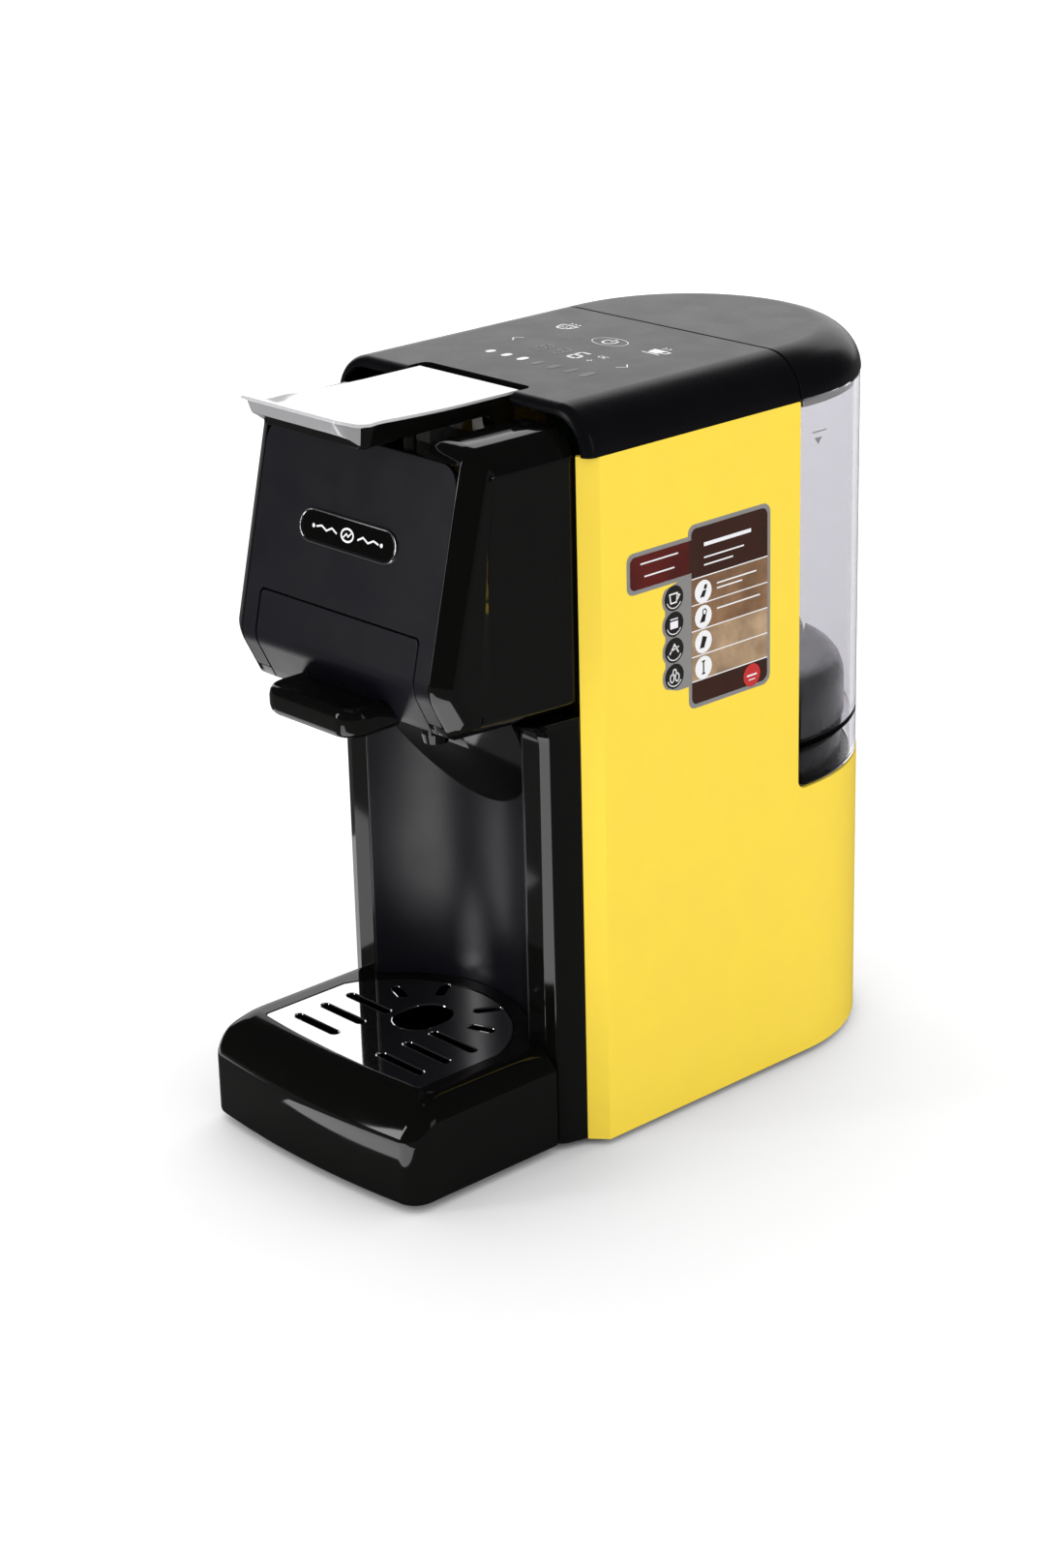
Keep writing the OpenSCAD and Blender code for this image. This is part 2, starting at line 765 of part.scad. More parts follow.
module suction_hose() {
  low = bay_z - 22;
  x = meter_x - outlet_x;
  hose([[0, valve_y, bay_z - 8 - hose_gap], [0, valve_y, low], [x, valve_y, low], [x, meter_y, low],
    [x, meter_y, meter_z + meter_h + 12 + 2 * hose_gap]]);
}

module feed_hose() {
  z = meter_z + meter_port;
  back = meter_y + meter_d / 2 + nozzle_h + hose_d;
  low = base_z + 13;
  hose([[meter_x, meter_y + meter_d / 2 + nozzle_h + hose_gap, z], [meter_x, back, z], [meter_x, back, low],
    [pump_x, back, low], [pump_x, pump_y, low], [pump_x, pump_y, pump_z - nozzle_h - hose_gap]]);
}

module pressure_hose() {
  x = heater_x - heater_size.x / 2 + heater_port;
  y = heater_back - heater_size.y / 2;
  low = heater_z - nozzle_h - 12;
  hose([[pump_x, pump_y, pump_z + pump_h + nozzle_h + hose_gap], [pump_x, pump_y, low], [x, pump_y, low],
    [x, y, low], [x, y, heater_z - nozzle_h - hose_gap]]);
}

module brew_hose() {
  x = heater_x - heater_size.x / 2 + heater_port;
  y = heater_back - heater_size.y / 2;
  hose([[x, y, heater_z + heater_size.z + 8 + hose_gap], [x, y, guide_low + 2], [x, -35.9, guide_low + 2]]);
}

module brew_frame() {
  frame_x = head_hw - wall - 0.3;
  cheek_in = drawer_in + 0.6;
  color([0.85, 0.84, 0.8]) difference() {
    union() {
      span([-frame_x, -brew_y - 12, guide_low], [frame_x, -shell_front - 0.3, guide_low + 4]);
      span([-40, -shell_front - 1, guide_low], [40, -36, guide_low + 4]);
      translate([0, -brew_y, guide_low]) cylinder(d = stem_d + 2 * guide_wall, h = guide_h);
      pair() {
        span([cheek_in, -brew_y - 12, column_top + 7], [cheek_in + 7, -44, guide_low + eps]);
        span([post_in, -axis_y - 5, guide_low + 4 - eps], [post_in + post_t, -axis_y + 5, axis_z]);
        bar_x(5, post_t, [post_in, -axis_y, axis_z]);
      }
    }
    translate([0, -brew_y, 0]) cylinder(d = stem_d + 2 * run_gap, h = big);
    span([-gear_w / 2 - 0.6, -brew_y, 0], [gear_w / 2 + 0.6, 7.4 - rack_y, big]);
    bar_x(pin_d / 2 + run_gap, body_w, [-half_w, -axis_y, axis_z]);
    pair() span([0, -big, wing_z - 0.3], [wing_x + 0.4, -46, wing_z + wing_t + 0.3]);
  }
}

module lever_pin() {
  color([0.7, 0.7, 0.7]) bar_x(pin_d / 2, lever_w - 1, [0.5 - lever_w / 2, -axis_y, axis_z]);
}

// Involute of the pinion's base circle, as an angle at a radius
function inv_angle(r) = let (base = pitch_r * cos(20), a = acos(min(1, base / r)))
  tan(a) * 180 / PI - a;

// One pinion tooth about the +X direction
module pinion_tooth() {
  base = pitch_r * cos(20);
  tip = pitch_r + tooth_reach;
  half = 90 / gear_n - backlash / pitch_r * 45 / PI + inv_angle(pitch_r);
  flank = [for (i = [0:6]) let (r = base + (tip - base) * i / 6) [r, half - inv_angle(r)]];
  root = pitch_r - gear_m;
  polygon(concat([[root - 1, -2.4]], [for (f = flank) f[0] * [cos(f[1]), -sin(f[1])]],
    [for (i = [6:-1:0]) flank[i][0] * [cos(flank[i][1]), sin(flank[i][1])]], [[root - 1, 2.4]]));
}

module lever_pinion() {
  root = pitch_r - gear_m;
  color([0.88, 0.87, 0.82]) translate([-gear_w / 2, -axis_y, axis_z]) rotate([90, 0, 90])
    linear_extrude(gear_w) difference() {
      union() {
        circle(r = pitch_r - gear_m - 1.6);
        intersection() {
          circle(r = root);
          rotate(180) translate([-3, 0]) square([pitch_r + 3, pitch_r]);
        }
        for (i = [0:3]) rotate(180 + i * 360 / gear_n) pinion_tooth();
      }
      circle(d = pin_d + 2 * eps);
    }
}

// Side outline of the lever's cover, from the hinge to the front
module lever_outline() {
  low = axis_z + 1.5;
  top = lever_top - plate_t;
  polygon([[-lever_back, top], [-lever_back, axis_z + 3], [-axis_y - 8, low],
    [5 - lever_reach, low + 1], [-lever_reach, top - 4], [-lever_reach, top - 1.8],
    [5 - lever_reach, top - 1.4]]);
}

module lever_body() {
  color([0.05, 0.05, 0.05]) difference() {
    union() {
      across(lever_w) lever_outline();
      pair() bar_x(ear_r, ear_t, [lever_w / 2 - ear_t, -axis_y, axis_z]);
    }
    span([ear_t - lever_w / 2, 12 - lever_reach, 0], [lever_w / 2 - ear_t, 2 - lever_back, axis_z + 6.4]);
    span([ear_t - lever_w / 2, -axis_y - 12, 0], [lever_w / 2 - ear_t, 1, axis_z + 6.4]);
    bar_x(pin_d / 2 + eps, body_w, [-half_w, -axis_y, axis_z]);
  }
}

module lever_plate() {
  top = lever_top - plate_t;
  color([0.9, 0.9, 0.9]) across(lever_w - 0.4) polygon([
    [-lever_back, top + eps], [-lever_back, top + plate_t],
    [5 - lever_reach, top - 1.4 + plate_t], [-lever_reach, top - 1.8 + plate_t],
    [-lever_reach, top - 1.8 + eps], [5 - lever_reach, top - 1.4 + eps]]);
}

// Upturned chrome lip along the lever's front edge
module lever_lip() {
  low = axis_z + 3;
  top = lever_top - plate_t - 1.8;
  front = -lever_reach - 0.1;
  color([0.75, 0.75, 0.75]) across(lever_w - 4) polygon([[front, low], [front, top + 1],
    [front - 5, top + 3], [front - 9.5, total_h + 5], [front - 11, total_h + 5],
    [front - 8, top], [front - 4, low + 0.6]]);
}

module piston() {
  color([0.85, 0.84, 0.8]) difference() {
    translate([0, -brew_y, 0]) {
      translate([0, 0, piston_low + seal_t + eps]) cylinder(d = piston_d, h = piston_t);
      translate([0, 0, piston_low + seal_t]) cylinder(d = stem_d, h = stem_top - piston_low - seal_t);
    }
    span([-gear_w / 2, -rack_y - rack_t, rack_low], [gear_w / 2, 0, big]);
    translate([0, -brew_y, 0]) cylinder(d = needle_d, h = big);
  }
}

module piston_rack() {
  pitch = PI * gear_m;
  half = pitch / 4 - backlash / 4;
  root = 1.15 * gear_m;
  w = gear_w - 0.2;
  color([0.8, 0.8, 0.75]) {
    across(w) translate([0.1 - rack_y - rack_t, rack_low + 0.1])
      square([rack_t - root - 0.1, rack_top - rack_low - 0.1]);
    for (i = [-4:0]) across(w) translate([-rack_y, axis_z + pitch * (i + 0.5)])
      polygon([[-root - 0.5, half + tan(20) * root], [rack_reach, half - tan(20) * rack_reach],
        [rack_reach, tan(20) * rack_reach - half], [-root - 0.5, -half - tan(20) * root]]);
  }
}

module piston_seal() {
  color([0.7, 0.7, 0.68]) translate([0, -brew_y, piston_low]) difference() {
    cylinder(d = piston_d + 2, h = seal_t);
    translate([0, 0, -1]) cylinder(d = needle_d, h = seal_t + 2);
  }
}

module pierce_needle() {
  color([0.8, 0.8, 0.8]) translate([0, -brew_y, 0]) difference() {
    union() {
      translate([0, 0, piston_low - 3]) cylinder(d = needle_d, h = stem_top - piston_low + 3);
      translate([0, 0, piston_low - 6]) cylinder(d1 = 0.6, d2 = needle_d, h = 3 + eps);
    }
    translate([0, 0, piston_low - 2]) cylinder(d = 1.2, h = big);
  }
}

module drawer_front() {
  color([0.12, 0.11, 0.14]) face_slab(drawer_w, chin_z + 0.4, drawer_top, panel_t, drawer_back);
}

module drawer_handle() {
  back = nose_reach - 5;
  front = back + handle_out;
  low = chin_z - 2;
  color([0.03, 0.03, 0.03]) difference() {
    hull() {
      pair() translate([handle_w / 2 - 7, 7 - front, low]) cylinder(r = 7, h = 9, $fn = 32);
      span([-handle_w / 2, -back, low], [handle_w / 2, 1 - back, low + 12]);
      pair() translate([handle_w / 2 - 9, 9 - front, low]) cylinder(r = 7, h = 11, $fn = 32);
    }
    across(big) head_outline(-0.05);
  }
}

module capsule_holder() {
  color([0.06, 0.06, 0.06]) difference() {
    union() {
      translate([0, -brew_y, cup_low]) cylinder(r = cup_r, h = cup_top - cup_low);
      span([-drawer_in, 2 - nose_reach + panel_t, cup_low], [drawer_in, -brew_y, cup_low + 4]);
      pair() span([drawer_in - 4, 6 - nose_reach + panel_t, cup_low], [drawer_in, -50, cup_top - 12]);
      pair() span([drawer_in - 1, 6 - nose_reach + panel_t, wing_z], [wing_x, -50, wing_z + wing_t]);
      span([-drawer_in, -brew_y, cup_low], [drawer_in, -50, cup_low + 4]);
    }
    across(big) difference() {
      translate([-2 * big, -big]) square([4 * big, 4 * big]);
      head_outline(panel_t + 0.02);
    }
    translate([0, -brew_y, cup_low + 3]) cylinder(d = capsule_d, h = big);
    translate([0, -brew_y, 0]) cylinder(d = 8, h = big);
    span([-3, -brew_y, cup_top - 7], [3, 0, cup_top + 1]);
  }
}

module coffee_spout() {
  duct_z = chin_z + 2.6;
  duct_h = cup_low - duct_z;
  bore = spout_d / 2;
  color([0.05, 0.05, 0.05]) difference() {
    union() {
      translate([0, -brew_y, duct_z]) cylinder(d = spout_d + 2, h = duct_h);
      span([-spout_d / 2, -brew_y, duct_z], [spout_d / 2, -spout_y, cup_low]);
      translate([0, -spout_y, spout_low]) cylinder(d1 = spout_d - 2, d2 = spout_d, h = 4);
      translate([0, -spout_y, spout_low + 4 - eps]) cylinder(d = spout_d, h = cup_low - spout_low - 4 + eps);
    }
    translate([0, -spout_y, 0]) cylinder(d = bore, h = big);
    span([-bore / 2, -brew_y, duct_z + 1.2], [bore / 2, -spout_y, big]);
  }
}

// Block with the tray's plan: straight sides, bowed front, rear that fills the hollow column
module tray_block(h) {
  intersection() {
    union() {
      span([-tray_hw, tray_corner + bow_drop - tray_reach, 0], [tray_hw, -rail_front - 0.6, h]);
      span([tray_corner - tray_hw, -tray_reach, 0], [tray_hw - tray_corner, -rail_front - 1, h]);
      pair() translate([tray_hw - tray_corner, tray_corner + bow_drop - tray_reach, 0])
        cylinder(r = tray_corner, h = h);
      intersection() {
        translate([0, -scoop_y, 0]) cylinder(r = panel_r - 0.6, h = h, $fn = 180);
        span([0.6 - rail_in, -scoop_y, 0], [rail_in - 0.6, 0, h]);
      }
    }
    translate([0, bow_r - tray_reach, 0]) cylinder(r = bow_r, h = h, $fn = 360);
  }
}

// Plan of the drip grille, drawn in by a gap
module grille_plan(gap) {
  intersection() {
    union() {
      translate([0, -grille_y]) circle(r = grille_r - gap);
      translate([-half_w, gap - grille_front]) square([body_w, grille_front - grille_y - gap]);
    }
    translate([gap - grille_w / 2, gap - grille_front]) square([grille_w - 2 * gap, big]);
  }
}

module tray_body() {
  color([0.04, 0.04, 0.04]) difference() {
    intersection() {
      translate([0, 0, foot_h]) tray_block(tray_h - foot_h);
      across(body_w) polygon([[1 - tray_reach, 0], [-tray_reach, tray_front_z - 10],
        [-tray_reach, tray_front_z - 2], [3 - tray_reach, tray_front_z + 5],
        [9 - tray_reach, tray_h - 3.5], [17 - tray_reach, tray_h], [0, tray_h], [0, 0]]);
      rotate([90, 0, 0]) translate([0, 0, -1]) linear_extrude(big) polygon([[-tray_hw, 0],
        [-tray_hw, tray_side - 3], [1.2 - tray_hw, tray_side], [tray_bevel - tray_hw, tray_h - 1.2],
        [tray_bevel + 3 - tray_hw, tray_h], [tray_hw - tray_bevel - 3, tray_h],
        [tray_hw - tray_bevel, tray_h - 1.2],
        [tray_hw - 1.2, tray_side], [tray_hw, tray_side - 3], [tray_hw, 0]]);
    }
    translate([0, 0, grille_z]) linear_extrude(big) grille_plan(-0.4);
    translate([0, 0, pocket_z + 2]) linear_extrude(big) grille_plan(3);
    span([-tongue_w / 2 - 0.5, -tongue_y - 1, 0], [tongue_w / 2 + 0.5, 0, pocket_z]);
  }
}

module drip_grille() {
  color([0.85, 0.85, 0.87]) translate([0, 0, grille_z + eps]) linear_extrude(grille_t) difference() {
    grille_plan(0);
    for (y = slot_rows) pair() translate([slot_x, y]) stadium(slot_l, slot_w);
    translate([0, hole_y]) rotate(90) stadium(hole_l, hole_w);
    for (a = ray_turns) translate([0, hole_y]) rotate(a) translate([ray_r, 0]) stadium(ray_l, slot_w);
  }
}

// Plan of the tank, drawn in by a gap from its outside
module tank_plan(gap) {
  intersection() {
    body_plan(tank_gap + gap);
    translate([-half_w, tank_front + gap]) square([body_w, rear_y]);
  }
}

module tank_shell() {
  color([0.75, 0.75, 0.78, 0.4]) difference() {
    translate([0, 0, bay_z + 0.5]) linear_extrude(shell_top - bay_z - 0.5) tank_plan(0);
    translate([0, 0, tank_floor + tank_wall]) linear_extrude(big) tank_plan(tank_wall);
    difference() {
      linear_extrude(tank_floor) tank_plan(tank_wall);
      translate([0, valve_y, bay_z + 4]) cylinder(d = neck_d, h = tank_lift);
    }
    translate([0, valve_y, 0]) cylinder(d = poppet_d - 2, h = tank_floor - 5);
    translate([0, valve_y, 0]) cylinder(d = 4 + 2 * run_gap, h = big);
    for (a = [0:90:270]) translate([0, valve_y, 0]) rotate([0, 0, a]) translate([3.6, 0, 0])
      cylinder(d = 1.6, h = big, $fn = 24);
  }
}

// Solid cap of the tank, drawn in by a gap
module lid_solid(gap, z) {
  translate([0, 0, z]) {
    intersection() {
      union() {
        translate([0, arc_y, 0]) rotate_extrude($fn = 180) intersection() {
          top_section(gap);
          translate([0, -1]) square([half_w, cover_h + 1]);
        }
        translate([0, arc_y, 0]) rotate([90, 0, 0]) linear_extrude(arc_y - bay_y + 30) top_section(gap);
      }
      span([-half_w, bay_y + seam + gap, -2], [half_w, rear_y, cover_h]);
    }
  }
}

// Closed D-shaped ring that follows the tank, between two gaps from its outside
module tank_ring(outer, inner, z, h) {
  translate([0, 0, z]) linear_extrude(h) difference() {
    tank_plan(outer);
    tank_plan(inner);
  }
}

module tank_lid() {
  rim = tank_wall + 1.6;
  color([0.1, 0.1, 0.11]) {
    difference() {
      intersection() {
        lid_solid(0, shell_top);
        span([-half_w, 0, lid_z], [half_w, rear_y, total_h]);
      }
      lid_solid(wall, shell_top - 1);
    }
    tank_ring(0.6, rim + 1.6, lid_z, 2);
    tank_ring(rim, rim + 1.6, lid_z - 5, 5 + eps);
  }
}

module lid_seal() {
  color([0.7, 0.7, 0.7]) tank_ring(tank_wall + 0.1, tank_wall + 1.58, lid_z - 4, 2.4);
}

// Solid of the strainer cover: the tank's plan with a rounded top, drawn in by a gap
module cover_block(gap) {
  inset = tank_wall + 2.6 + gap;
  hull() {
    linear_extrude(cover_rise - 10 - gap, $fn = 48) tank_plan(inset);
    linear_extrude(cover_rise - 3 - gap, $fn = 48) tank_plan(inset + 3);
    linear_extrude(cover_rise - gap, $fn = 48) tank_plan(inset + 10);
  }
}

// Dark cover over the outlet valve, with slots along its front foot
module strainer_cover() {
  color([0.15, 0.15, 0.16]) translate([0, 0, tank_floor + tank_wall + eps]) difference() {
    cover_block(0);
    translate([0, 0, -1]) cover_block(2);
    for (i = [-4:4]) translate([12 * i - 1.5, tank_front, -1]) cube([3, 16, 9]);
  }
}

module valve_poppet() {
  color([0.9, 0.9, 0.9]) translate([0, valve_y, 0]) {
    translate([0, 0, collar_z]) cylinder(d = 4, h = tank_floor + tank_wall + poppet_gap + 1.3 - collar_z);
    translate([0, 0, collar_z]) cylinder(d = poppet_d - 3, h = 1.2);
    translate([0, 0, tank_floor + tank_wall + poppet_gap + 1.2]) cylinder(d = poppet_d, h = 2);
  }
}

module valve_seal() {
  color([0.15, 0.15, 0.15]) translate([0, valve_y, tank_floor + tank_wall + poppet_gap + 0.05])
    rotate_extrude() translate([2.2, 0]) square([3.6, 1.1]);
}

module valve_spring() {
  color([0.8, 0.8, 0.8]) translate([0, valve_y, collar_z + 1.3])
    helix(3.4, 0.8, 2.5, tank_floor - collar_z - 6.4);
}

base_plate();
outer_shell();
front_frame();
column_panel();
apron();
head_housing();
face_panel();
badge_rim();
badge_plate();
top_cover();
display_board();
side_label();
tank_bay();
tank_seat();
dock_seal();
rubber_feet();
base_screws();
cord_grommet();
pump_body();
pump_coil();
pump_mounts();
pump_plunger();
pump_spring();
heater_block();
thermostats();
control_board();
flow_meter_body();
flow_meter_lid();
flow_rotor();
suction_hose();
feed_hose();
pressure_hose();
brew_hose();
brew_frame();
lever_pin();
lever_pinion();
lever_body();
lever_plate();
lever_lip();
piston();
piston_rack();
piston_seal();
pierce_needle();
drawer_front();
drawer_handle();
capsule_holder();
coffee_spout();
tray_body();
drip_grille();
tank_shell();
tank_lid();
lid_seal();
strainer_cover();
valve_poppet();
valve_spring();
valve_seal();
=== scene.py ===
import json
import math
import bmesh
import bpy
from mathutils import Matrix, Vector
from mathutils.geometry import delaunay_2d_cdt


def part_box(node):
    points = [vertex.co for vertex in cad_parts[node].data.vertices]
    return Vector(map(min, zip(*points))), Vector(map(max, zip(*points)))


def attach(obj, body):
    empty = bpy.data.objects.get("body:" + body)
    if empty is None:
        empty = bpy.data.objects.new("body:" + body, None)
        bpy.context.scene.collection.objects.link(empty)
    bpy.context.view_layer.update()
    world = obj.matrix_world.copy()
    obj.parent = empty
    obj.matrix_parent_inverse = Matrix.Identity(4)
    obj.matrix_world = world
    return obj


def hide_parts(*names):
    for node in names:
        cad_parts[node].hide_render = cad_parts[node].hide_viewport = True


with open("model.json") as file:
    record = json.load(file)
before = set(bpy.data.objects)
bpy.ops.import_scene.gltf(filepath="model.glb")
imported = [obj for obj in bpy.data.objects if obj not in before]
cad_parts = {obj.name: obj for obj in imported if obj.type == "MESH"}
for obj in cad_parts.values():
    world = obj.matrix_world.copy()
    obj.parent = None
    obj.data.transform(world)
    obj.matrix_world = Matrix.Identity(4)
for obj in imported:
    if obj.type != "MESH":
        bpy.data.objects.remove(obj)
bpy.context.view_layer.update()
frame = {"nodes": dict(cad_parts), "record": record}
mm = 0.001


# measuring
def mmBox(node):
    low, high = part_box(node)
    return [v * 1000 for v in low], [v * 1000 for v in high]


shellLow, shellHigh = mmBox("outer_shell")
headHigh = mmBox("head_housing")[1]
halfW = shellHigh[0]
rearY = shellHigh[1]
frontY = shellLow[1]
footH = shellLow[2]
shellTop = shellHigh[2]
totalH = mmBox("top_cover")[1][2]
arcY = rearY - halfW
headHalf = headHigh[0]
headTop = headHigh[2]

# nodes and materials
def setInputs(node, values):
    for title, value in values.items():
        node.inputs[title].default_value = value


def addNode(tree, kind, values=None, **settings):
    node = tree.nodes.new(kind)
    for key, value in settings.items():
        setattr(node, key, value)
    setInputs(node, values or {})
    return node


def wire(tree, *links):
    # each link: a node and its output, a node and its input
    for source, output, target, entry in links:
        tree.links.new(source.outputs[output], target.inputs[entry])


def newGroup(name, inputs, outputs):
    tree = bpy.data.node_groups.new(name, "ShaderNodeTree")
    for title, value in inputs.items():
        kind = "NodeSocketVector" if isinstance(value, tuple) else "NodeSocketFloat"
        tree.interface.new_socket(title, in_out="INPUT", socket_type=kind).default_value = value
    for title in outputs:
        tree.interface.new_socket(title, in_out="OUTPUT", socket_type="NodeSocketFloat")
    return tree, tree.nodes.new("NodeGroupInput"), tree.nodes.new("NodeGroupOutput")


def makeGrain():
    # fine moulding grain: a mask, a roughness value and a bump height
    tree, start, end = newGroup("surfaceGrain", {"Scale": 60.0, "Low": 0.3, "High": 0.4},
                                ("Mask", "Value", "Height"))
    coord = addNode(tree, "ShaderNodeTexCoord")
    broad = addNode(tree, "ShaderNodeTexNoise", {"Detail": 4.0})
    fine = addNode(tree, "ShaderNodeTexNoise", {"Scale": 2600.0, "Detail": 2.0})
    spread = addNode(tree, "ShaderNodeMapRange", {"From Min": 0.35, "From Max": 0.65})
    wire(tree, (coord, "Object", broad, "Vector"), (coord, "Object", fine, "Vector"),
         (start, "Scale", broad, "Scale"), (start, "Low", spread, "To Min"),
         (start, "High", spread, "To Max"), (broad, "Fac", spread, "Value"), (broad, "Fac", end, "Mask"),
         (spread, "Result", end, "Value"), (fine, "Fac", end, "Height"))
    return tree


def makeBrush():
    # brushed metal: stretched noise for roughness and bump
    tree, start, end = newGroup("brushedLines", {"Stretch": (40.0, 1800.0, 1800.0), "Low": 0.1, "High": 0.2},
                                ("Value", "Height"))
    coord = addNode(tree, "ShaderNodeTexCoord")
    scaled = addNode(tree, "ShaderNodeVectorMath", operation="MULTIPLY")
    lines = addNode(tree, "ShaderNodeTexNoise", {"Scale": 1.0, "Detail": 3.0})
    spread = addNode(tree, "ShaderNodeMapRange")
    wire(tree, (coord, "Object", scaled, 0), (start, "Stretch", scaled, 1),
         (scaled, "Vector", lines, "Vector"), (lines, "Fac", spread, "Value"),
         (start, "Low", spread, "To Min"), (start, "High", spread, "To Max"),
         (spread, "Result", end, "Value"), (lines, "Fac", end, "Height"))
    return tree


def makeDust():
    # a faint dust mask on what faces up
    tree, start, end = newGroup("settledDust", {"Amount": 0.1}, ("Mask",))
    geometry = addNode(tree, "ShaderNodeNewGeometry")
    split = addNode(tree, "ShaderNodeSeparateXYZ")
    facing = addNode(tree, "ShaderNodeMapRange", {"From Min": 0.4})
    coord = addNode(tree, "ShaderNodeTexCoord")
    specks = addNode(tree, "ShaderNodeTexNoise", {"Scale": 900.0})
    patch = addNode(tree, "ShaderNodeMapRange", {"From Min": 0.5, "From Max": 0.8})
    both = addNode(tree, "ShaderNodeMath", operation="MULTIPLY")
    total = addNode(tree, "ShaderNodeMath", operation="MULTIPLY")
    wire(tree, (geometry, "Normal", split, "Vector"), (split, "Z", facing, "Value"),
         (coord, "Object", specks, "Vector"), (specks, "Fac", patch, "Value"), (facing, "Result", both, 0),
         (patch, "Result", both, 1), (both, "Value", total, 0), (start, "Amount", total, 1),
         (total, "Value", end, "Mask"))
    return tree


grainGroup = makeGrain()
brushGroup = makeBrush()
dustGroup = makeDust()


def newMat(name):
    mat = bpy.data.materials.new(name)
    mat.use_nodes = True
    return mat, mat.node_tree, mat.node_tree.nodes["Principled BSDF"]


def addRelief(tree, shader, source, bump, depth):
    relief = addNode(tree, "ShaderNodeBump", {"Strength": bump, "Distance": depth})
    wire(tree, (source, "Height", relief, "Height"), (source, "Value", shader, "Roughness"),
         (relief, "Normal", shader, "Normal"))


def plasticMat(name, colour, shade, rough, metal=0.0, coat=0.0, spec=0.5, scale=60.0, bump=0.04, dust=0.0,
               throw=None):
    mat, tree, shader = newMat(name)
    grain = addNode(tree, "ShaderNodeGroup", {"Scale": scale, "Low": rough[0], "High": rough[1]},
                    node_tree=grainGroup)
    tint = addNode(tree, "ShaderNodeMix", {"A": (*colour, 1), "B": (*shade, 1)}, data_type="RGBA")
    wire(tree, (grain, "Mask", tint, "Factor"))
    last = tint
    if dust:
        film = addNode(tree, "ShaderNodeGroup", {"Amount": dust}, node_tree=dustGroup)
        over = addNode(tree, "ShaderNodeMix", {"B": (0.35, 0.34, 0.33, 1)}, data_type="RGBA")
        wire(tree, (film, "Mask", over, "Factor"), (last, "Result", over, "A"))
        last = over
    if throw:
        # the colour that this piece throws on its surroundings
        path = addNode(tree, "ShaderNodeLightPath")
        seen = addNode(tree, "ShaderNodeMix", {"B": (*throw, 1)}, data_type="RGBA")
        wire(tree, (path, "Is Diffuse Ray", seen, "Factor"), (last, "Result", seen, "A"))
        last = seen
    addRelief(tree, shader, grain, bump, 0.0002)
    wire(tree, (last, "Result", shader, "Base Color"))
    setInputs(shader, {"Metallic": metal, "Coat Weight": coat, "Coat Roughness": 0.05,
                       "Specular IOR Level": spec})
    return mat


def brushedMat(name, colour, rough, stretch=(1800.0, 40.0, 1800.0), bump=0.02, metal=1.0):
    mat, tree, shader = newMat(name)
    lines = addNode(tree, "ShaderNodeGroup", {"Stretch": stretch, "Low": rough[0], "High": rough[1]},
                    node_tree=brushGroup)
    addRelief(tree, shader, lines, bump, 0.0001)
    setInputs(shader, {"Base Color": (*colour, 1), "Metallic": metal})
    return mat


def clearMat(name, colour, rough):
    mat, tree, shader = newMat(name)
    grain = addNode(tree, "ShaderNodeGroup", {"Low": rough[0], "High": rough[1]}, node_tree=grainGroup)
    wire(tree, (grain, "Value", shader, "Roughness"))
    setInputs(shader, {"Base Color": (*colour, 1), "Transmission Weight": 1.0, "IOR": 1.1})
    return mat


mats = {
    "yellow_plastic": plasticMat("yellowPlastic", (0.97, 0.715, 0.052), (0.93, 0.67, 0.047), (0.3, 0.36),
                                 dust=0.02, throw=(0.5, 0.48, 0.44)),
    "gloss_black": plasticMat("glossBlack", (0.0022, 0.0022, 0.002), (0.003, 0.003, 0.0027), (0.05, 0.08),
                              spec=0.5, bump=0.01),
    "satin_black": plasticMat("satinBlack", (0.003, 0.003, 0.0042), (0.004, 0.004, 0.005), (0.26, 0.3),
                              spec=0.2, bump=0.03),
    "satin_midnight": plasticMat("satinMidnight", (0.005, 0.0042, 0.0078), (0.006, 0.005, 0.009),
                                 (0.3, 0.34), bump=0.03),
    "chrome_trim": plasticMat("chromeTrim", (0.72, 0.72, 0.73), (0.66, 0.66, 0.67), (0.06, 0.1),
                              metal=1.0, bump=0.01),
    "mirror_steel": brushedMat("mirrorSteel", (0.9, 0.9, 0.91), (0.03, 0.06), bump=0.0),
    "clear_smoke": clearMat("clearSmoke", (0.70, 0.692, 0.72), (0.0, 0.02)),
    "dark_smoke": plasticMat("darkSmoke", (0.012, 0.012, 0.014), (0.016, 0.016, 0.018), (0.2, 0.28)),
    "label_print": plasticMat("labelPrint", (0.035, 0.012, 0.008), (0.05, 0.017, 0.01), (0.2, 0.25)),
    "black_rubber": plasticMat("blackRubber", (0.012, 0.012, 0.012), (0.018, 0.018, 0.018), (0.7, 0.8),
                               bump=0.2),
    "silicone": plasticMat("siliconeHose", (0.5, 0.5, 0.47), (0.42, 0.42, 0.4), (0.4, 0.5)),
    "white_plastic": plasticMat("whitePlastic", (0.75, 0.74, 0.69), (0.68, 0.67, 0.62), (0.4, 0.5)),
    "circuit_green": plasticMat("circuitGreen", (0.02, 0.12, 0.05), (0.03, 0.16, 0.07), (0.3, 0.4)),
    "coil_orange": plasticMat("coilOrange", (0.42, 0.12, 0.02), (0.36, 0.1, 0.02), (0.3, 0.4)),
    "cast_heater": plasticMat("castHeater", (0.5, 0.5, 0.49), (0.42, 0.42, 0.41), (0.4, 0.55), metal=1.0,
                              bump=0.3),
    "steel": brushedMat("turnedSteel", (0.55, 0.55, 0.55), (0.2, 0.3), stretch=(600.0, 600.0, 3000.0),
                        bump=0.05),
    "blue_plastic": plasticMat("bluePlastic", (0.03, 0.07, 0.35), (0.04, 0.09, 0.4), (0.35, 0.45)),
}
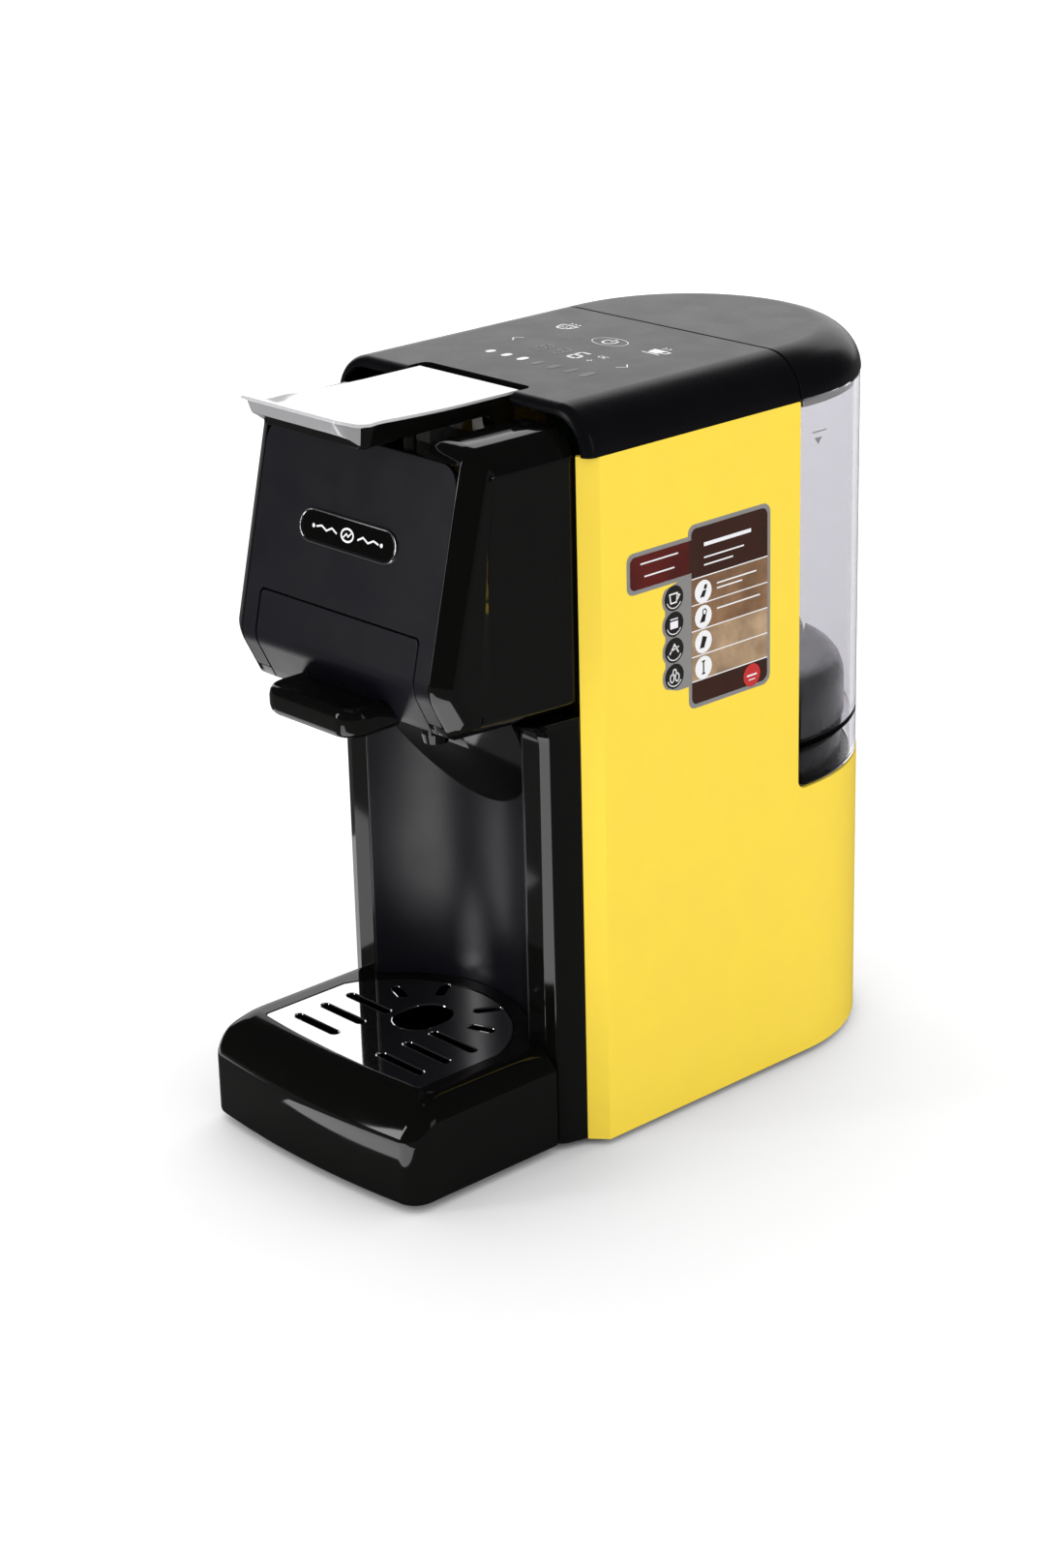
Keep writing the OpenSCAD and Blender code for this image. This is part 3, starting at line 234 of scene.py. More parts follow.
extra = {
    "printWhite": plasticMat("printWhite", (0.85, 0.85, 0.86), (0.8, 0.8, 0.82), (0.4, 0.5)),
    "printGrey": plasticMat("printGrey", (0.16, 0.16, 0.17), (0.13, 0.13, 0.14), (0.4, 0.5)),
    # painted reflection: a grey base colour on a part-metal finish stands in for the bright surroundings
    # mirrored in the chrome lip
    "lipMetal": plasticMat("lipMetal", (0.42, 0.42, 0.43), (0.38, 0.38, 0.39), (0.2, 0.26), metal=0.35,
                           bump=0.01),
    "silverFoil": plasticMat("silverFoil", (0.55, 0.54, 0.53), (0.48, 0.47, 0.46), (0.3, 0.36), metal=0.6),
    "labelBlack": plasticMat("labelBlack", (0.012, 0.011, 0.011), (0.018, 0.016, 0.015), (0.25, 0.3)),
    "labelCream": plasticMat("labelCream", (0.72, 0.5, 0.3), (0.06, 0.02, 0.008), (0.25, 0.3), scale=90.0),
    "labelCrema": plasticMat("labelCrema", (0.05, 0.016, 0.008), (0.42, 0.24, 0.12), (0.25, 0.3),
                             scale=70.0),
    "labelGlow": plasticMat("labelGlow", (0.16, 0.012, 0.008), (0.03, 0.004, 0.003), (0.25, 0.3),
                            scale=60.0),
    "labelRed": plasticMat("labelRed", (0.62, 0.03, 0.03), (0.5, 0.02, 0.02), (0.25, 0.3)),
    "markGrey": plasticMat("markGrey", (0.2, 0.2, 0.21), (0.25, 0.25, 0.26), (0.4, 0.5)),
}
print("materials", len(mats) + len(extra))


# geometry helpers
def arc(cx, cy, r, first, last, steps):
    points = []
    for i in range(steps + 1):
        a = math.radians(first + (last - first) * i / steps)
        points.append((cx + r * math.cos(a), cy + r * math.sin(a)))
    return points


def roundPoly(points, radii, steps=5, closed=True):
    out = []
    count = len(points)
    for i in range(count):
        p = Vector(points[i])
        r = radii[i] if isinstance(radii, (list, tuple)) else radii
        if r <= 0 or (not closed and i in (0, count - 1)):
            out.append((p.x, p.y))
            continue
        toLast = Vector(points[i - 1]) - p
        toNext = Vector(points[(i + 1) % count]) - p
        half = toLast.angle(toNext) / 2
        reach = min(r / math.tan(half), 0.49 * toLast.length, 0.49 * toNext.length)
        r = reach * math.tan(half)
        a = p + toLast.normalized() * reach
        b = p + toNext.normalized() * reach
        mid = p + (toLast.normalized() + toNext.normalized()).normalized() * (r / math.sin(half))
        angleA = math.atan2(a.y - mid.y, a.x - mid.x)
        angleB = math.atan2(b.y - mid.y, b.x - mid.x)
        turn = (angleB - angleA + math.pi) % (2 * math.pi) - math.pi
        for k in range(steps + 1):
            angle = angleA + turn * k / steps
            out.append((mid.x + r * math.cos(angle), mid.y + r * math.sin(angle)))
    return out


def stadium(w, h, steps=8, at=(0, 0), turn=0.0):
    x = (w - h) / 2
    points = arc(x, 0, h / 2, -90, 90, steps) + arc(-x, 0, h / 2, 90, 270, steps)
    c = math.cos(math.radians(turn))
    s = math.sin(math.radians(turn))
    return [(at[0] + c * px - s * py, at[1] + s * px + c * py) for px, py in points]


def loft(bm, loops, capStart=True, capEnd=True, ring=True):
    rows = [[bm.verts.new(p) for p in loop] for loop in loops]
    for a, b in zip(rows, rows[1:]):
        count = len(a)
        for i in range(count if ring else count - 1):
            j = (i + 1) % count
            bm.faces.new((a[i], a[j], b[j], b[i]))
    if capStart:
        bm.faces.new(list(reversed(rows[0])))
    if capEnd:
        bm.faces.new(rows[-1])
    return rows


def isWithin(loop, x, y):
    odd = False
    for a, b in zip(loop, loop[1:] + loop[:1]):
        if (a[1] > y) != (b[1] > y) and x < a[0] + (b[0] - a[0]) * (y - a[1]) / (b[1] - a[1]):
            odd = not odd
    return odd


def fillLoops(bm, loops, verts):
    # the first loop is the outside and the others are holes
    if len(loops) == 1:
        bm.faces.new(verts)
        return
    flat = [Vector((p[0], p[1])) for loop in loops for p in loop]
    edges = []
    for loop in loops:
        first = len(edges)
        edges += [(first + i, first + (i + 1) % len(loop)) for i in range(len(loop))]
    made = delaunay_2d_cdt(flat, edges, [], 2, 0.00001)
    used = []
    for spot, given in zip(made[0], made[3]):
        used.append(verts[given[0]] if given else bm.verts.new((spot.x, spot.y, verts[0].co.z)))
    for face in made[2]:
        x = sum(made[0][i].x for i in face) / len(face)
        y = sum(made[0][i].y for i in face) / len(face)
        if not any(isWithin(loop, x, y) for loop in loops[1:]) and isWithin(loops[0], x, y):
            bm.faces.new([used[i] for i in face])


def flatFill(bm, loops, z=0.0):
    verts = [bm.verts.new((x, y, z)) for loop in loops for x, y in loop]
    fillLoops(bm, loops, verts)


def cutLines(bm, xs=(), ys=()):
    cuts = [((x, 0, 0), (1, 0, 0)) for x in xs] + [((0, y, 0), (0, 1, 0)) for y in ys]
    for spot, normal in cuts:
        geom = bm.verts[:] + bm.edges[:] + bm.faces[:]
        bmesh.ops.bisect_plane(bm, geom=geom, plane_co=spot, plane_no=normal, dist=0.0001)


def mapVerts(bm, place):
    for v in bm.verts:
        v.co = Vector(place(v.co.x, v.co.y))


def pathOf(points):
    # a polyline by its length: (lengths, points)
    lengths = [0.0]
    for a, b in zip(points, points[1:]):
        lengths.append(lengths[-1] + math.dist(a, b))
    return lengths, points


def onPath(path, s):
    lengths, points = path
    s = min(max(s, 0.0), lengths[-1])
    for i in range(len(lengths) - 1):
        if s <= lengths[i + 1] or i == len(lengths) - 2:
            t = (s - lengths[i]) / max(lengths[i + 1] - lengths[i], 1e-9)
            a = points[i]
            b = points[i + 1]
            return a[0] + (b[0] - a[0]) * t, a[1] + (b[1] - a[1]) * t


def newObject(name, data):
    obj = bpy.data.objects.new(name, data)
    bpy.context.scene.collection.objects.link(obj)
    return obj


def toMesh(name, bm):
    mesh = bpy.data.meshes.new(name)
    bm.to_mesh(mesh)
    bm.free()
    return mesh


def addPiece(name, bm, slot, body, replaces=(), solid=0.0, edge=0.4, angle=30, mat=None, inside=None,
             even=True):
    # inside: a point that the faces of an open sheet turn away from
    bmesh.ops.remove_doubles(bm, verts=bm.verts, dist=0.0005)
    bmesh.ops.recalc_face_normals(bm, faces=bm.faces)
    if inside is not None:
        heart = Vector(inside)
        total = sum((f.calc_center_median() - heart).dot(f.normal) * f.calc_area() for f in bm.faces)
        if total < 0:
            bmesh.ops.reverse_faces(bm, faces=bm.faces)
    bmesh.ops.scale(bm, vec=(mm, mm, mm), verts=bm.verts)
    mesh = toMesh(name, bm)
    mesh.shade_smooth()
    if not edge:
        mesh.set_sharp_from_angle(angle=math.radians(38))
    obj = newObject(name, mesh)
    mesh.materials.append(mat or mats[slot])
    if solid:
        thick = obj.modifiers.new("wall", "SOLIDIFY")
        thick.thickness = solid * mm
        thick.offset = -1
        thick.use_even_offset = even
    if edge:
        bevel = obj.modifiers.new("edge", "BEVEL")
        bevel.width = edge * mm
        bevel.segments = 3
        bevel.limit_method = "ANGLE"
        bevel.angle_limit = math.radians(angle)
        bevel.miter_outer = "MITER_ARC"
    normals = obj.modifiers.new("normals", "WEIGHTED_NORMAL")
    normals.keep_sharp = True
    settle(obj)
    declare(obj, body, replaces)
    return obj


def settle(obj):
    # the evaluated mesh replaces the modifiers
    graph = bpy.context.evaluated_depsgraph_get()
    done = bpy.data.meshes.new_from_object(obj.evaluated_get(graph), preserve_all_data_layers=True,
                                           depsgraph=graph)
    done.name = obj.name
    obj.modifiers.clear()
    obj.data = done


def declare(obj, body, replaces=()):
    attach(obj, body)
    if replaces:
        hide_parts(*replaces)


# yellow shell
shellLook = {"wall": 2.4, "edge": 0.7, "stripX": 6.7, "stripY": 6.0, "stripRound": 1.0, "bayY": 64.0,
             "bayZ": 121.0, "bayRound": 4.0, "rearSteps": 72, "cordHole": 5.5, "cordZ": 17.0}


def shellPath():
    lip = halfW - shellLook["stripX"]
    corner = [(lip, frontY), (halfW, frontY + shellLook["stripY"]), (halfW, arcY)]
    right = roundPoly(corner, [0, shellLook["stripRound"], 0], steps=4, closed=False)
    rear = arc(0, arcY, halfW, 0, 180, shellLook["rearSteps"])
    left = [(-x, y) for x, y in reversed(right)]
    return pathOf(right[:-1] + rear + left[1:])


def buildShell():
    k = shellLook
    path = shellPath()
    total = path[0][-1]
    bayS = total / 2 - math.pi * halfW / 2 - (arcY - k["bayY"])
    outline = [(0, footH), (total, footH), (total, shellTop), (total - bayS, shellTop),
               (total - bayS, k["bayZ"]), (bayS, k["bayZ"]), (bayS, shellTop), (0, shellTop)]
    rounded = roundPoly(outline, [0, 0, 0, 1.0, k["bayRound"], k["bayRound"], 1.0, 0], steps=8)
    hole = arc(total / 2, k["cordZ"], k["cordHole"], 0, 345, 23)
    bm = bmesh.new()
    flatFill(bm, [rounded, hole])
    cutLines(bm, xs=path[0][1:-1])
    mapVerts(bm, lambda s, z: (*onPath(path, s), z))
    addPiece("yellowShell", bm, "yellow_plastic", "machine", ["outer_shell"], solid=k["wall"],
             edge=k["edge"], angle=50, inside=(0, arcY, 100))


buildShell()
print("shell")

# front frame, column and apron
frameLook = {"railIn": 46.2, "railFront": 63.0, "top": 181.0, "flare": 11.0, "plateBack": 46.8,
             "plateLow": 177.0, "notch": 30.3, "notchLow": 190.5}
columnLook = {"r": 57.0, "mid": -(63.0 + math.sqrt(57.0 ** 2 - 46.0 ** 2)), "half": 46.0, "low": 6.8,
              "high": 178.4, "t": 2.2}


def buildFrame():
    bm = bmesh.new()
    f = frameLook
    lip = halfW - shellLook["stripX"] - 0.3
    plan = [(f["railIn"], -f["plateBack"]), (f["railIn"], -f["railFront"]), (56.0, -f["railFront"]),
            (60.6, -61.4), (62.8, -58.6), (lip, -50.4), (lip, -f["plateBack"])]
    ring = roundPoly(plan, [0.3, 1.0, 1.6, 2.4, 2.0, 0.6, 0.3], steps=4)
    levels = [(footH + 0.2, 0.0), (footH + 6, 0.0), (100, 0.0), (f["top"] - f["flare"] - 1.0, 0.0)]
    for i in range(1, 10):
        a = math.radians(90 * i / 9)
        levels.append((f["top"] - f["flare"] + f["flare"] * math.sin(a), f["flare"] * (1 - math.cos(a))))
    for side in (1, -1):
        loops = []
        for z, push in levels:
            loops.append([(side * x, y - push * min(1.0, max(0.0, (-y - 49.0) / 8.0)), z) for x, y in ring])
        loft(bm, loops)
    # cross plate with a notch for the lever
    high = shellTop - 0.3
    w = f["notch"]
    outline = [(-lip, f["plateLow"]), (lip, f["plateLow"]), (lip, high), (w, high), (w, f["notchLow"]),
               (-w, f["notchLow"]), (-w, high), (-lip, high)]
    plate = roundPoly(outline, [0, 0, 1.5, 1, 2, 2, 1, 1.5], steps=3)
    loft(bm, [[(x, y, z) for x, z in plate] for y in (frontY + 0.2, -f["plateBack"])])
    addPiece("frontFrame", bm, "gloss_black", "machine", ["front_frame"], edge=0.35, angle=40)


def columnY(x, r):
    return columnLook["mid"] + math.sqrt(max(r * r - x * x, 0.0))


def buildColumn():
    bm = bmesh.new()
    c = columnLook
    loops = []
    for i in range(49):
        x = -c["half"] + 2 * c["half"] * i / 48
        a = math.asin(x / c["r"])
        front = (x, columnY(x, c["r"]))
        back = (x + c["t"] * math.sin(a), front[1] + c["t"] * math.cos(a))
        loops.append([(*front, c["low"]), (*back, c["low"]), (*back, c["high"]), (*front, c["high"])])
    loft(bm, loops)
    addPiece("columnPanel", bm, "satin_midnight", "machine", ["column_panel"], edge=0.3, angle=60)


apronLook = {"front": -69.0, "top": 178.9, "apex": 180.5, "reach": 29.3, "drop": 54.0, "r": 56.8,
             "half": 45.6, "pocket": 8.0, "pocketY": -58.0, "swell": 1.6}


def apronZ(y):
    a = apronLook
    t = (y - a["front"]) / a["reach"]
    return a["apex"] - a["drop"] * t - a["swell"] * math.sin(math.pi * min(max(t, 0), 1))


def buildApron():
    bm = bmesh.new()
    a = apronLook
    xs = [-a["half"] + 2 * a["half"] * i / 56 for i in range(57)]
    xs = [x for x in xs if abs(abs(x) - a["pocket"]) > 0.5]
    xs += [a["pocket"], a["pocket"] + 0.02, -a["pocket"], -a["pocket"] - 0.02]
    loops = []
    for x in sorted(xs):
        back = columnY(x, a["r"])
        start = a["pocketY"] if abs(x) <= a["pocket"] else a["front"]
        loop = [(x, start, a["top"])]
        for i in range(9):
            y = start + (back - 0.6 - start) * i / 8
            loop.append((x, y, min(apronZ(y), a["top"] - 0.01)))
        loop.append((x, back - 0.1, apronZ(back - 0.6) + 0.2))
        loop.append((x, back, apronZ(back - 0.6) + 1.0))
        loop.append((x, back, a["top"]))
        loops.append(loop)
    loft(bm, loops)
    addPiece("apronFairing", bm, "gloss_black", "machine", ["apron"], edge=0)


buildFrame()
buildColumn()
buildApron()
print("frame and column")

# head
# ledges: how far out, how high
headLook = {"noseY": -103.7, "noseZ": 205.0, "noseR": 12.0, "crownR": 8.0, "lean": 13.2, "chinLean": 25.7,
            "chinZ": 183.5, "backZ": 180.5, "wall": 2.4, "faceHalf": 54.65, "drawerHalf": 46.45,
            "notch": 30.3, "rackSlot": 6.0, "spoutSlot": 9.0,
            "ledges": ((34.0, 286.0), (35.0, 286.8), (36.2, headTop - 1.2), (37.2, headTop - 0.3))}


def faceY(z):
    h = headLook
    lean = math.radians(h["lean"])
    foot = h["noseY"] - h["noseR"] * math.cos(lean)
    return foot + (z - h["noseZ"] - h["noseR"] * math.sin(lean)) * math.tan(lean)


def outlineRows(crownGap, gap):
    # the head's side outline: from its top at the back, round the nose, to its underside at the back
    h = headLook
    crownZ = headTop - h["crownR"]
    crownY = faceY(crownZ) + h["crownR"] / math.cos(math.radians(h["lean"]))
    rows = [(y, headTop - crownGap) for y in (frontY, -62.0, -71.0, -80.0)]
    first = arc(crownY, crownZ, h["crownR"], 90, 180 - h["lean"], 6)
    for i, (y, z) in enumerate(first):
        t = i / 6
        a = math.radians(90 + (90 - h["lean"]) * t)
        g = crownGap * (1 - t) + gap * t
        rows.append((y - g * math.cos(a), z - g * math.sin(a)))
    top = rows[-1]
    nose = arc(h["noseY"], h["noseZ"], h["noseR"] - gap, 180 - h["lean"], 180 + h["chinLean"], 10)
    for z in (shellTop - 12.0, shellTop - 30.0, 222.65):
        t = (top[1] - z) / (top[1] - nose[0][1])
        rows.append((top[0] + (nose[0][0] - top[0]) * t, z))
    rows += nose
    cosChin = h["noseR"] * math.cos(math.radians(h["chinLean"]))
    p1 = (h["noseY"] - cosChin + 7.4 + gap, h["chinZ"] + 1.6 + gap)
    p2 = (h["noseY"] - cosChin + 10 + gap, h["chinZ"] + gap)
    last = nose[-1]
    t = (last[1] - 189.0) / (last[1] - p1[1]) if p1[1] < 188 else 0.8
    rows.append((last[0] + (p1[0] - last[0]) * t, last[1] + (p1[1] - last[1]) * t))
    rows += [p1, p2]
    end = (frontY, h["backZ"] + gap)
    for y in (-98.15, -57.0):
        t = (y - p2[0]) / (end[0] - p2[0])
        rows.append((y, p2[1] + (end[1] - p2[1]) * t))
    rows.append(end)
    return rows


def buildHead():
    h = headLook
    # each column: its place across, and how far its crown and its front are drawn in
    flats = (0, 6, 9, 20, 30.3, 33.2, 34.0, 35.0, 36.2, 37.2, 42, 46.45, 50, 51.7)
    columns = [(x, 0, 0) for x in flats]
    columns += [(54.65, 0.37, 0), (55.3, 0.55, 0.1), (56.2, 0.86, 0.5), (57.6, 1.55, 1.3),
                (59.4, 2.8, 2.4), (61.2, 4.7, 3.6), (62.4, 6.6, 4.5), (63.2, 8.6, 5.3),
                (63.6, 10.4, 6.1), (headHalf, 12.0, 6.9)]
    columns = [(-x, a, b) for x, a, b in reversed(columns[1:])] + columns
    bm = bmesh.new()
    grid = []
    for x, crown, gap in columns:
        limit = min([high for reach, high in h["ledges"] if abs(x) <= reach], default=headTop)
        grid.append([bm.verts.new((x, y, min(z, limit))) for y, z in outlineRows(crown, gap)])
    # rows: 0-3 top, 4-10 crown, 11-13 face, 14-24 nose, 25 leg end, 26-27 chin, 28-29 underside, 30 back
    for i in range(len(grid) - 1):
        x = abs(columns[i][0] + columns[i + 1][0]) / 2
        for j in range(30):
            onFace = x < h["faceHalf"] and 10 <= j < 25
            onDrawer = x < h["drawerHalf"] and 13 <= j < 28
            onSpout = x < h["spoutSlot"] and j == 28
            onNotch = x < h["notch"] and j == 0
            onRack = x < h["rackSlot"] and j == 1
            if not (onFace or onDrawer or onSpout or onNotch or onRack):
                bm.faces.new((grid[i][j], grid[i][j + 1], grid[i + 1][j + 1], grid[i + 1][j]))
    bm.faces.new(grid[0])
    bm.faces.new(list(reversed(grid[-1])))
    loose = [v for v in bm.verts if not v.link_faces]
    bmesh.ops.delete(bm, geom=loose, context="VERTS")
    addPiece("headHousing", bm, "gloss_black", "machine", ["head_housing"], solid=h["wall"], edge=0.35,
             angle=38, inside=(0, -80, 230), even=False)


def addFace(name, path, plan, radii, steps, body, node, edge):
    # a flat outline laid along the head's front: width across, length down the front
    bm = bmesh.new()
    flatFill(bm, [roundPoly(plan, radii, steps=steps)])
    cutLines(bm, ys=path[0][1:-1])
    mapVerts(bm, lambda x, s: (x, *onPath(path, s)))
    addPiece(name, bm, "satin_midnight", body, [node], solid=2.6, edge=edge, angle=50,
             inside=(0, -60, 230))


def buildFaces():
    path = pathOf(outlineRows(0, 0)[10:29])
    seamS = path[0][3]
    legS = path[0][15] - 0.3
    endS = path[0][-1] - 0.2
    side = headLook["faceHalf"] - 0.3
    legIn = headLook["drawerHalf"] + 0.1
    plan = [(-side, 0.25), (side, 0.25), (side, legS), (legIn, legS), (legIn, seamS - 0.1),
            (-legIn, seamS - 0.1), (-legIn, legS), (-side, legS)]
    addFace("facePanel", path, plan, [9, 9, 1, 1, 2.2, 2.2, 1, 1], 8, "machine", "face_panel", 0.35)
    half = headLook["drawerHalf"] - 0.55
    plan = [(-half, seamS + 0.45), (half, seamS + 0.45), (half, endS), (-half, endS)]
    addFace("drawerFront", path, plan, [2.2, 2.2, 1.5, 1.5], 6, "capsule_drawer", "drawer_front", 0.45)


handleLook = {"half": 26.5, "low": 181.2, "high": 193.0, "back": -106.0, "front": -130.6, "corner": 9.0,
              "dish": 1.4}


def buildHandle():
    k = handleLook
    low = k["low"]
    high = k["high"]
    loops = []
    # how far each ring is drawn in, and its height
    for inset, z in ((3.5, low + 0.3), (1.4, low + 0.9), (0.4, low + 2.2), (0, low + 4.0), (0, high - 4.2),
                     (0.35, high - 2.2), (1.2, high - 0.8), (2.4, high - 0.15), (3.4, high),
                     (4.6, high - 0.25), (7.5, high - k["dish"])):
        w = k["half"] - inset
        front = k["front"] + inset
        corner = k["corner"] - inset * 0.5
        plan = [(-w, k["back"]), (-w, front), (w, front), (w, k["back"])]
        loops.append([(x, y, z) for x, y in roundPoly(plan, [0.2, corner, corner, 0.2], steps=9)])
    bm = bmesh.new()
    loft(bm, loops)
    addPiece("drawerHandle", bm, "gloss_black", "capsule_drawer", ["drawer_handle"], edge=0)


badgeLook = {"w": 56.0, "h": 13.6, "z": 251.0, "rim": 1.1, "rise": 0.9}


def onFaceMap(lift):
    lean = math.radians(headLook["lean"])

    def place(x, y, up=0.0):
        z = badgeLook["z"] + y * math.cos(lean)
        forward = faceY(badgeLook["z"]) + y * math.sin(lean)
        out = lift + up
        return x, forward - out * math.cos(lean), z + out * math.sin(lean)
    return place


def buildBadge():
    b = badgeLook
    bm = bmesh.new()
    place = onFaceMap(0.0)
    loops = []
    for inset, up in ((0, 0.0), (0.02, 0.5), (0.25, 0.85), (b["rim"] / 2, b["rise"]),
                      (b["rim"] - 0.25, 0.85), (b["rim"], 0.6), (b["rim"], 0.0)):
        loops.append([place(x, y, up) for x, y in stadium(b["w"] - 2 * inset, b["h"] - 2 * inset, 14)])
    loft(bm, loops, False, False)
    addPiece("badgeRim", bm, "chrome_trim", "machine", ["badge_rim"], edge=0)
    bm = bmesh.new()
    inner = [stadium(b["w"] - 2 * b["rim"] - 2 * i, b["h"] - 2 * b["rim"] - 2 * i, 14) for i in (0, 0, 0.4)]
    loft(bm, [[place(x, y, up) for x, y in ring] for ring, up in zip(inner, (0.02, 0.45, 0.6))])
    addPiece("badgePlate", bm, "gloss_black", "machine", ["badge_plate"], edge=0)


buildHead()
buildFaces()
buildHandle()
buildBadge()
print("head")

# top cover and lid
coverLook = {"r": 18.0, "low": 282.1, "frontRoll": 4.0, "rear": 63.6, "notch": 30.3, "notchY": -38.0,
             "notchRound": 3.5, "wall": 2.4}


def sectionPath(gap=0.0):
    r = coverLook["r"] - gap
    x = halfW - coverLook["r"]
    z = totalH - coverLook["r"]
    right = [(x + px, z + pz) for px, pz in arc(0, 0, r, 0, 90, 18)]
    left = [(-px, pz) for px, pz in reversed(right)]
    return pathOf(right + left)


def buildCover():
    c = coverLook
    base = sectionPath()
    total = base[0][-1]
    mid = total / 2
    left = mid - c["notch"]
    right = mid + c["notch"]
    plan = [(0, frontY), (left, frontY), (left, c["notchY"]), (right, c["notchY"]), (right, frontY),
            (total, frontY), (total, c["rear"]), (0, c["rear"])]
    bm = bmesh.new()
    flatFill(bm, [roundPoly(plan, [0, 2.5, c["notchRound"], c["notchRound"], 2.5, 0, 0, 0], steps=7)])
    rolls = [frontY + c["frontRoll"] * (1 - math.cos(math.radians(a))) for a in (15, 30, 45, 60, 75, 90)]
    cutLines(bm, xs=base[0][1:-1], ys=rolls)

    def place(s, y):
        depth = max(0.0, frontY + c["frontRoll"] - y)
        gap = c["frontRoll"] - math.sqrt(max(c["frontRoll"] ** 2 - depth ** 2, 0.0))
        section = sectionCache(round(gap, 5))
        x, z = onPath(section, s / total * section[0][-1])
        return x, y, z
    mapVerts(bm, place)
    addPiece("topCover", bm, "satin_black", "machine", ["top_cover"], solid=c["wall"], edge=0.7, angle=42,
             inside=(0, 0, 270))


caches = {}


def sectionCache(gap):
    if gap not in caches:
        caches[gap] = sectionPath(gap)
    return caches[gap]


def lidRing(gap, z, steps=64):
    r = halfW - gap
    points = [(r, 64.4)] + arc(0, arcY, r, 0, 180, steps) + [(-r, 64.4)]
    return [(x, y, z) for x, y in points]


def buildLid():
    c = coverLook
    bm = bmesh.new()
    loops = [lidRing(0, c["low"] + 0.3)]
    for i in range(1, 13):
        a = math.radians(90 * i / 12)
        loops.append(lidRing(c["r"] * (1 - math.cos(a)), totalH - c["r"] + c["r"] * math.sin(a)))
    loft(bm, loops, capStart=False, ring=False)
    addPiece("tankLid", bm, "satin_black", "lid", ["tank_lid"], solid=c["wall"], edge=0.7, angle=42,
             inside=(0, 90, 270))


buildCover()
buildLid()
print("top cover")

# tank
tankLook = {"gap": 0.4, "front": 66.0, "low": 121.6, "floor": 137.0, "wall": 2.4, "top": 282.0,
            "corner": 2.0}


def tankRing(gap, z, steps=64):
    r = halfW - tankLook["gap"] - gap
    front = tankLook["front"] + gap
    corner = max(tankLook["corner"] - gap * 0.5, 0.6)
    rightCorner = arc(r - corner, front + corner, corner, -90, 0, 5)
    leftCorner = arc(-r + corner, front + corner, corner, 180, 270, 5)
    rear = arc(0, arcY, r, 0, 180, steps)
    return [(x, y, z) for x, y in rightCorner + rear + leftCorner]


def loftTank(rings):
    bm = bmesh.new()
    loft(bm, [tankRing(gap, z) for gap, z in rings])
    return bm


def buildTank():
    t = tankLook
    w = t["wall"]
    low = t["low"]
    top = t["top"]
    bm = loftTank(((w, t["floor"]), (w, low + 0.4), (w - 0.4, low), (0.4, low), (0, low + 0.4),
                   (0, top - 0.4), (0.4, top), (w - 0.4, top), (w, top - 0.4), (w, t["floor"] + w)))
    addPiece("waterTank", bm, "clear_smoke", "water_tank", ["tank_shell"], edge=0)
    low = t["floor"] + w + 0.02
    bm = loftTank([(w + gap, low + rise) for gap, rise in (
        (2.6, 0), (2.6, 14), (3.0, 17), (4.2, 20), (6.2, 22.4), (9.0, 23.7), (12.6, 24))])
    addPiece("tankPlatform", bm, "dark_smoke", "water_tank", ["strainer_cover"], edge=0)


buildTank()
print("tank")

# drip tray and grille
trayLook = {"half": 62.4, "front": -142.5, "rear": -63.6, "columnIn": 45.4, "columnR": 56.4, "corner": 9.0,
            "bow": 420.0, "top": 44.5, "low": 3.6}
grilleLook = {"half": 47.0, "r": 50.0, "mid": -97.0, "front": -123.5, "low": 42.62, "t": 1.6,
              "corner": 2.2, "bow": 1.9, "slotW": 5.0, "slotL": 27.0, "slotX": 25.6,
              "rows": (-112.0, -98.4, -84.8), "holeY": -78.0, "holeL": 27.0, "holeW": 21.0, "rayL": 13.0,
              "rayAt": 26.5, "rays": (20, 59, 121, 160)}


def trayRing(a, b, z, inner=0.0):
    t = trayLook
    w = t["half"] - a
    front = t["front"] + b
    r = max(t["corner"] - min(a, b) * 0.4, 2.0)
    drop = (w - r) ** 2 / (2 * t["bow"])
    rightCorner = arc(w - r, front + drop + r, r, -82, 0, 8)
    leftCorner = arc(-w + r, front + drop + r, r, 180, 262, 8)
    bow = []
    for i in range(1, 12):
        x = (-w + r) + (2 * (w - r)) * i / 12
        bow.append((x, front + x * x / (2 * t["bow"])))
    rear = []
    c = t["columnIn"] - inner
    for i in range(25):
        x = c - 2 * c * i / 24
        rear.append((x, columnLook["mid"] + math.sqrt((t["columnR"] - inner) ** 2 - x * x)))
    back = t["rear"] - inner
    points = rightCorner + [(w, back), (c + 0.3, back)] + rear + [(-c - 0.3, back), (-w, back)]
    points += leftCorner + bow
    return [(x, y, z) for x, y in points]


def grillePlan(gap):
    g = grilleLook
    w = g["half"] - gap
    r = g["r"] - gap
    front = g["front"] + gap
    edge = g["mid"] + math.sqrt(r * r - w * w)
    start = math.degrees(math.asin((edge - g["mid"]) / r))
    top = arc(0, g["mid"], r, start, 180 - start, 32)
    corner = g["corner"]
    right = arc(w - corner, front + corner + g["bow"], corner, -84, 0, 5)
    left = arc(-w + corner, front + corner + g["bow"], corner, 180, 264, 5)
    bow = []
    for i in range(1, 12):
        x = (-w + corner) + 2 * (w - corner) * i / 12
        bow.append((x, front + g["bow"] * (x / w) ** 2))
    return right + top + left + bow


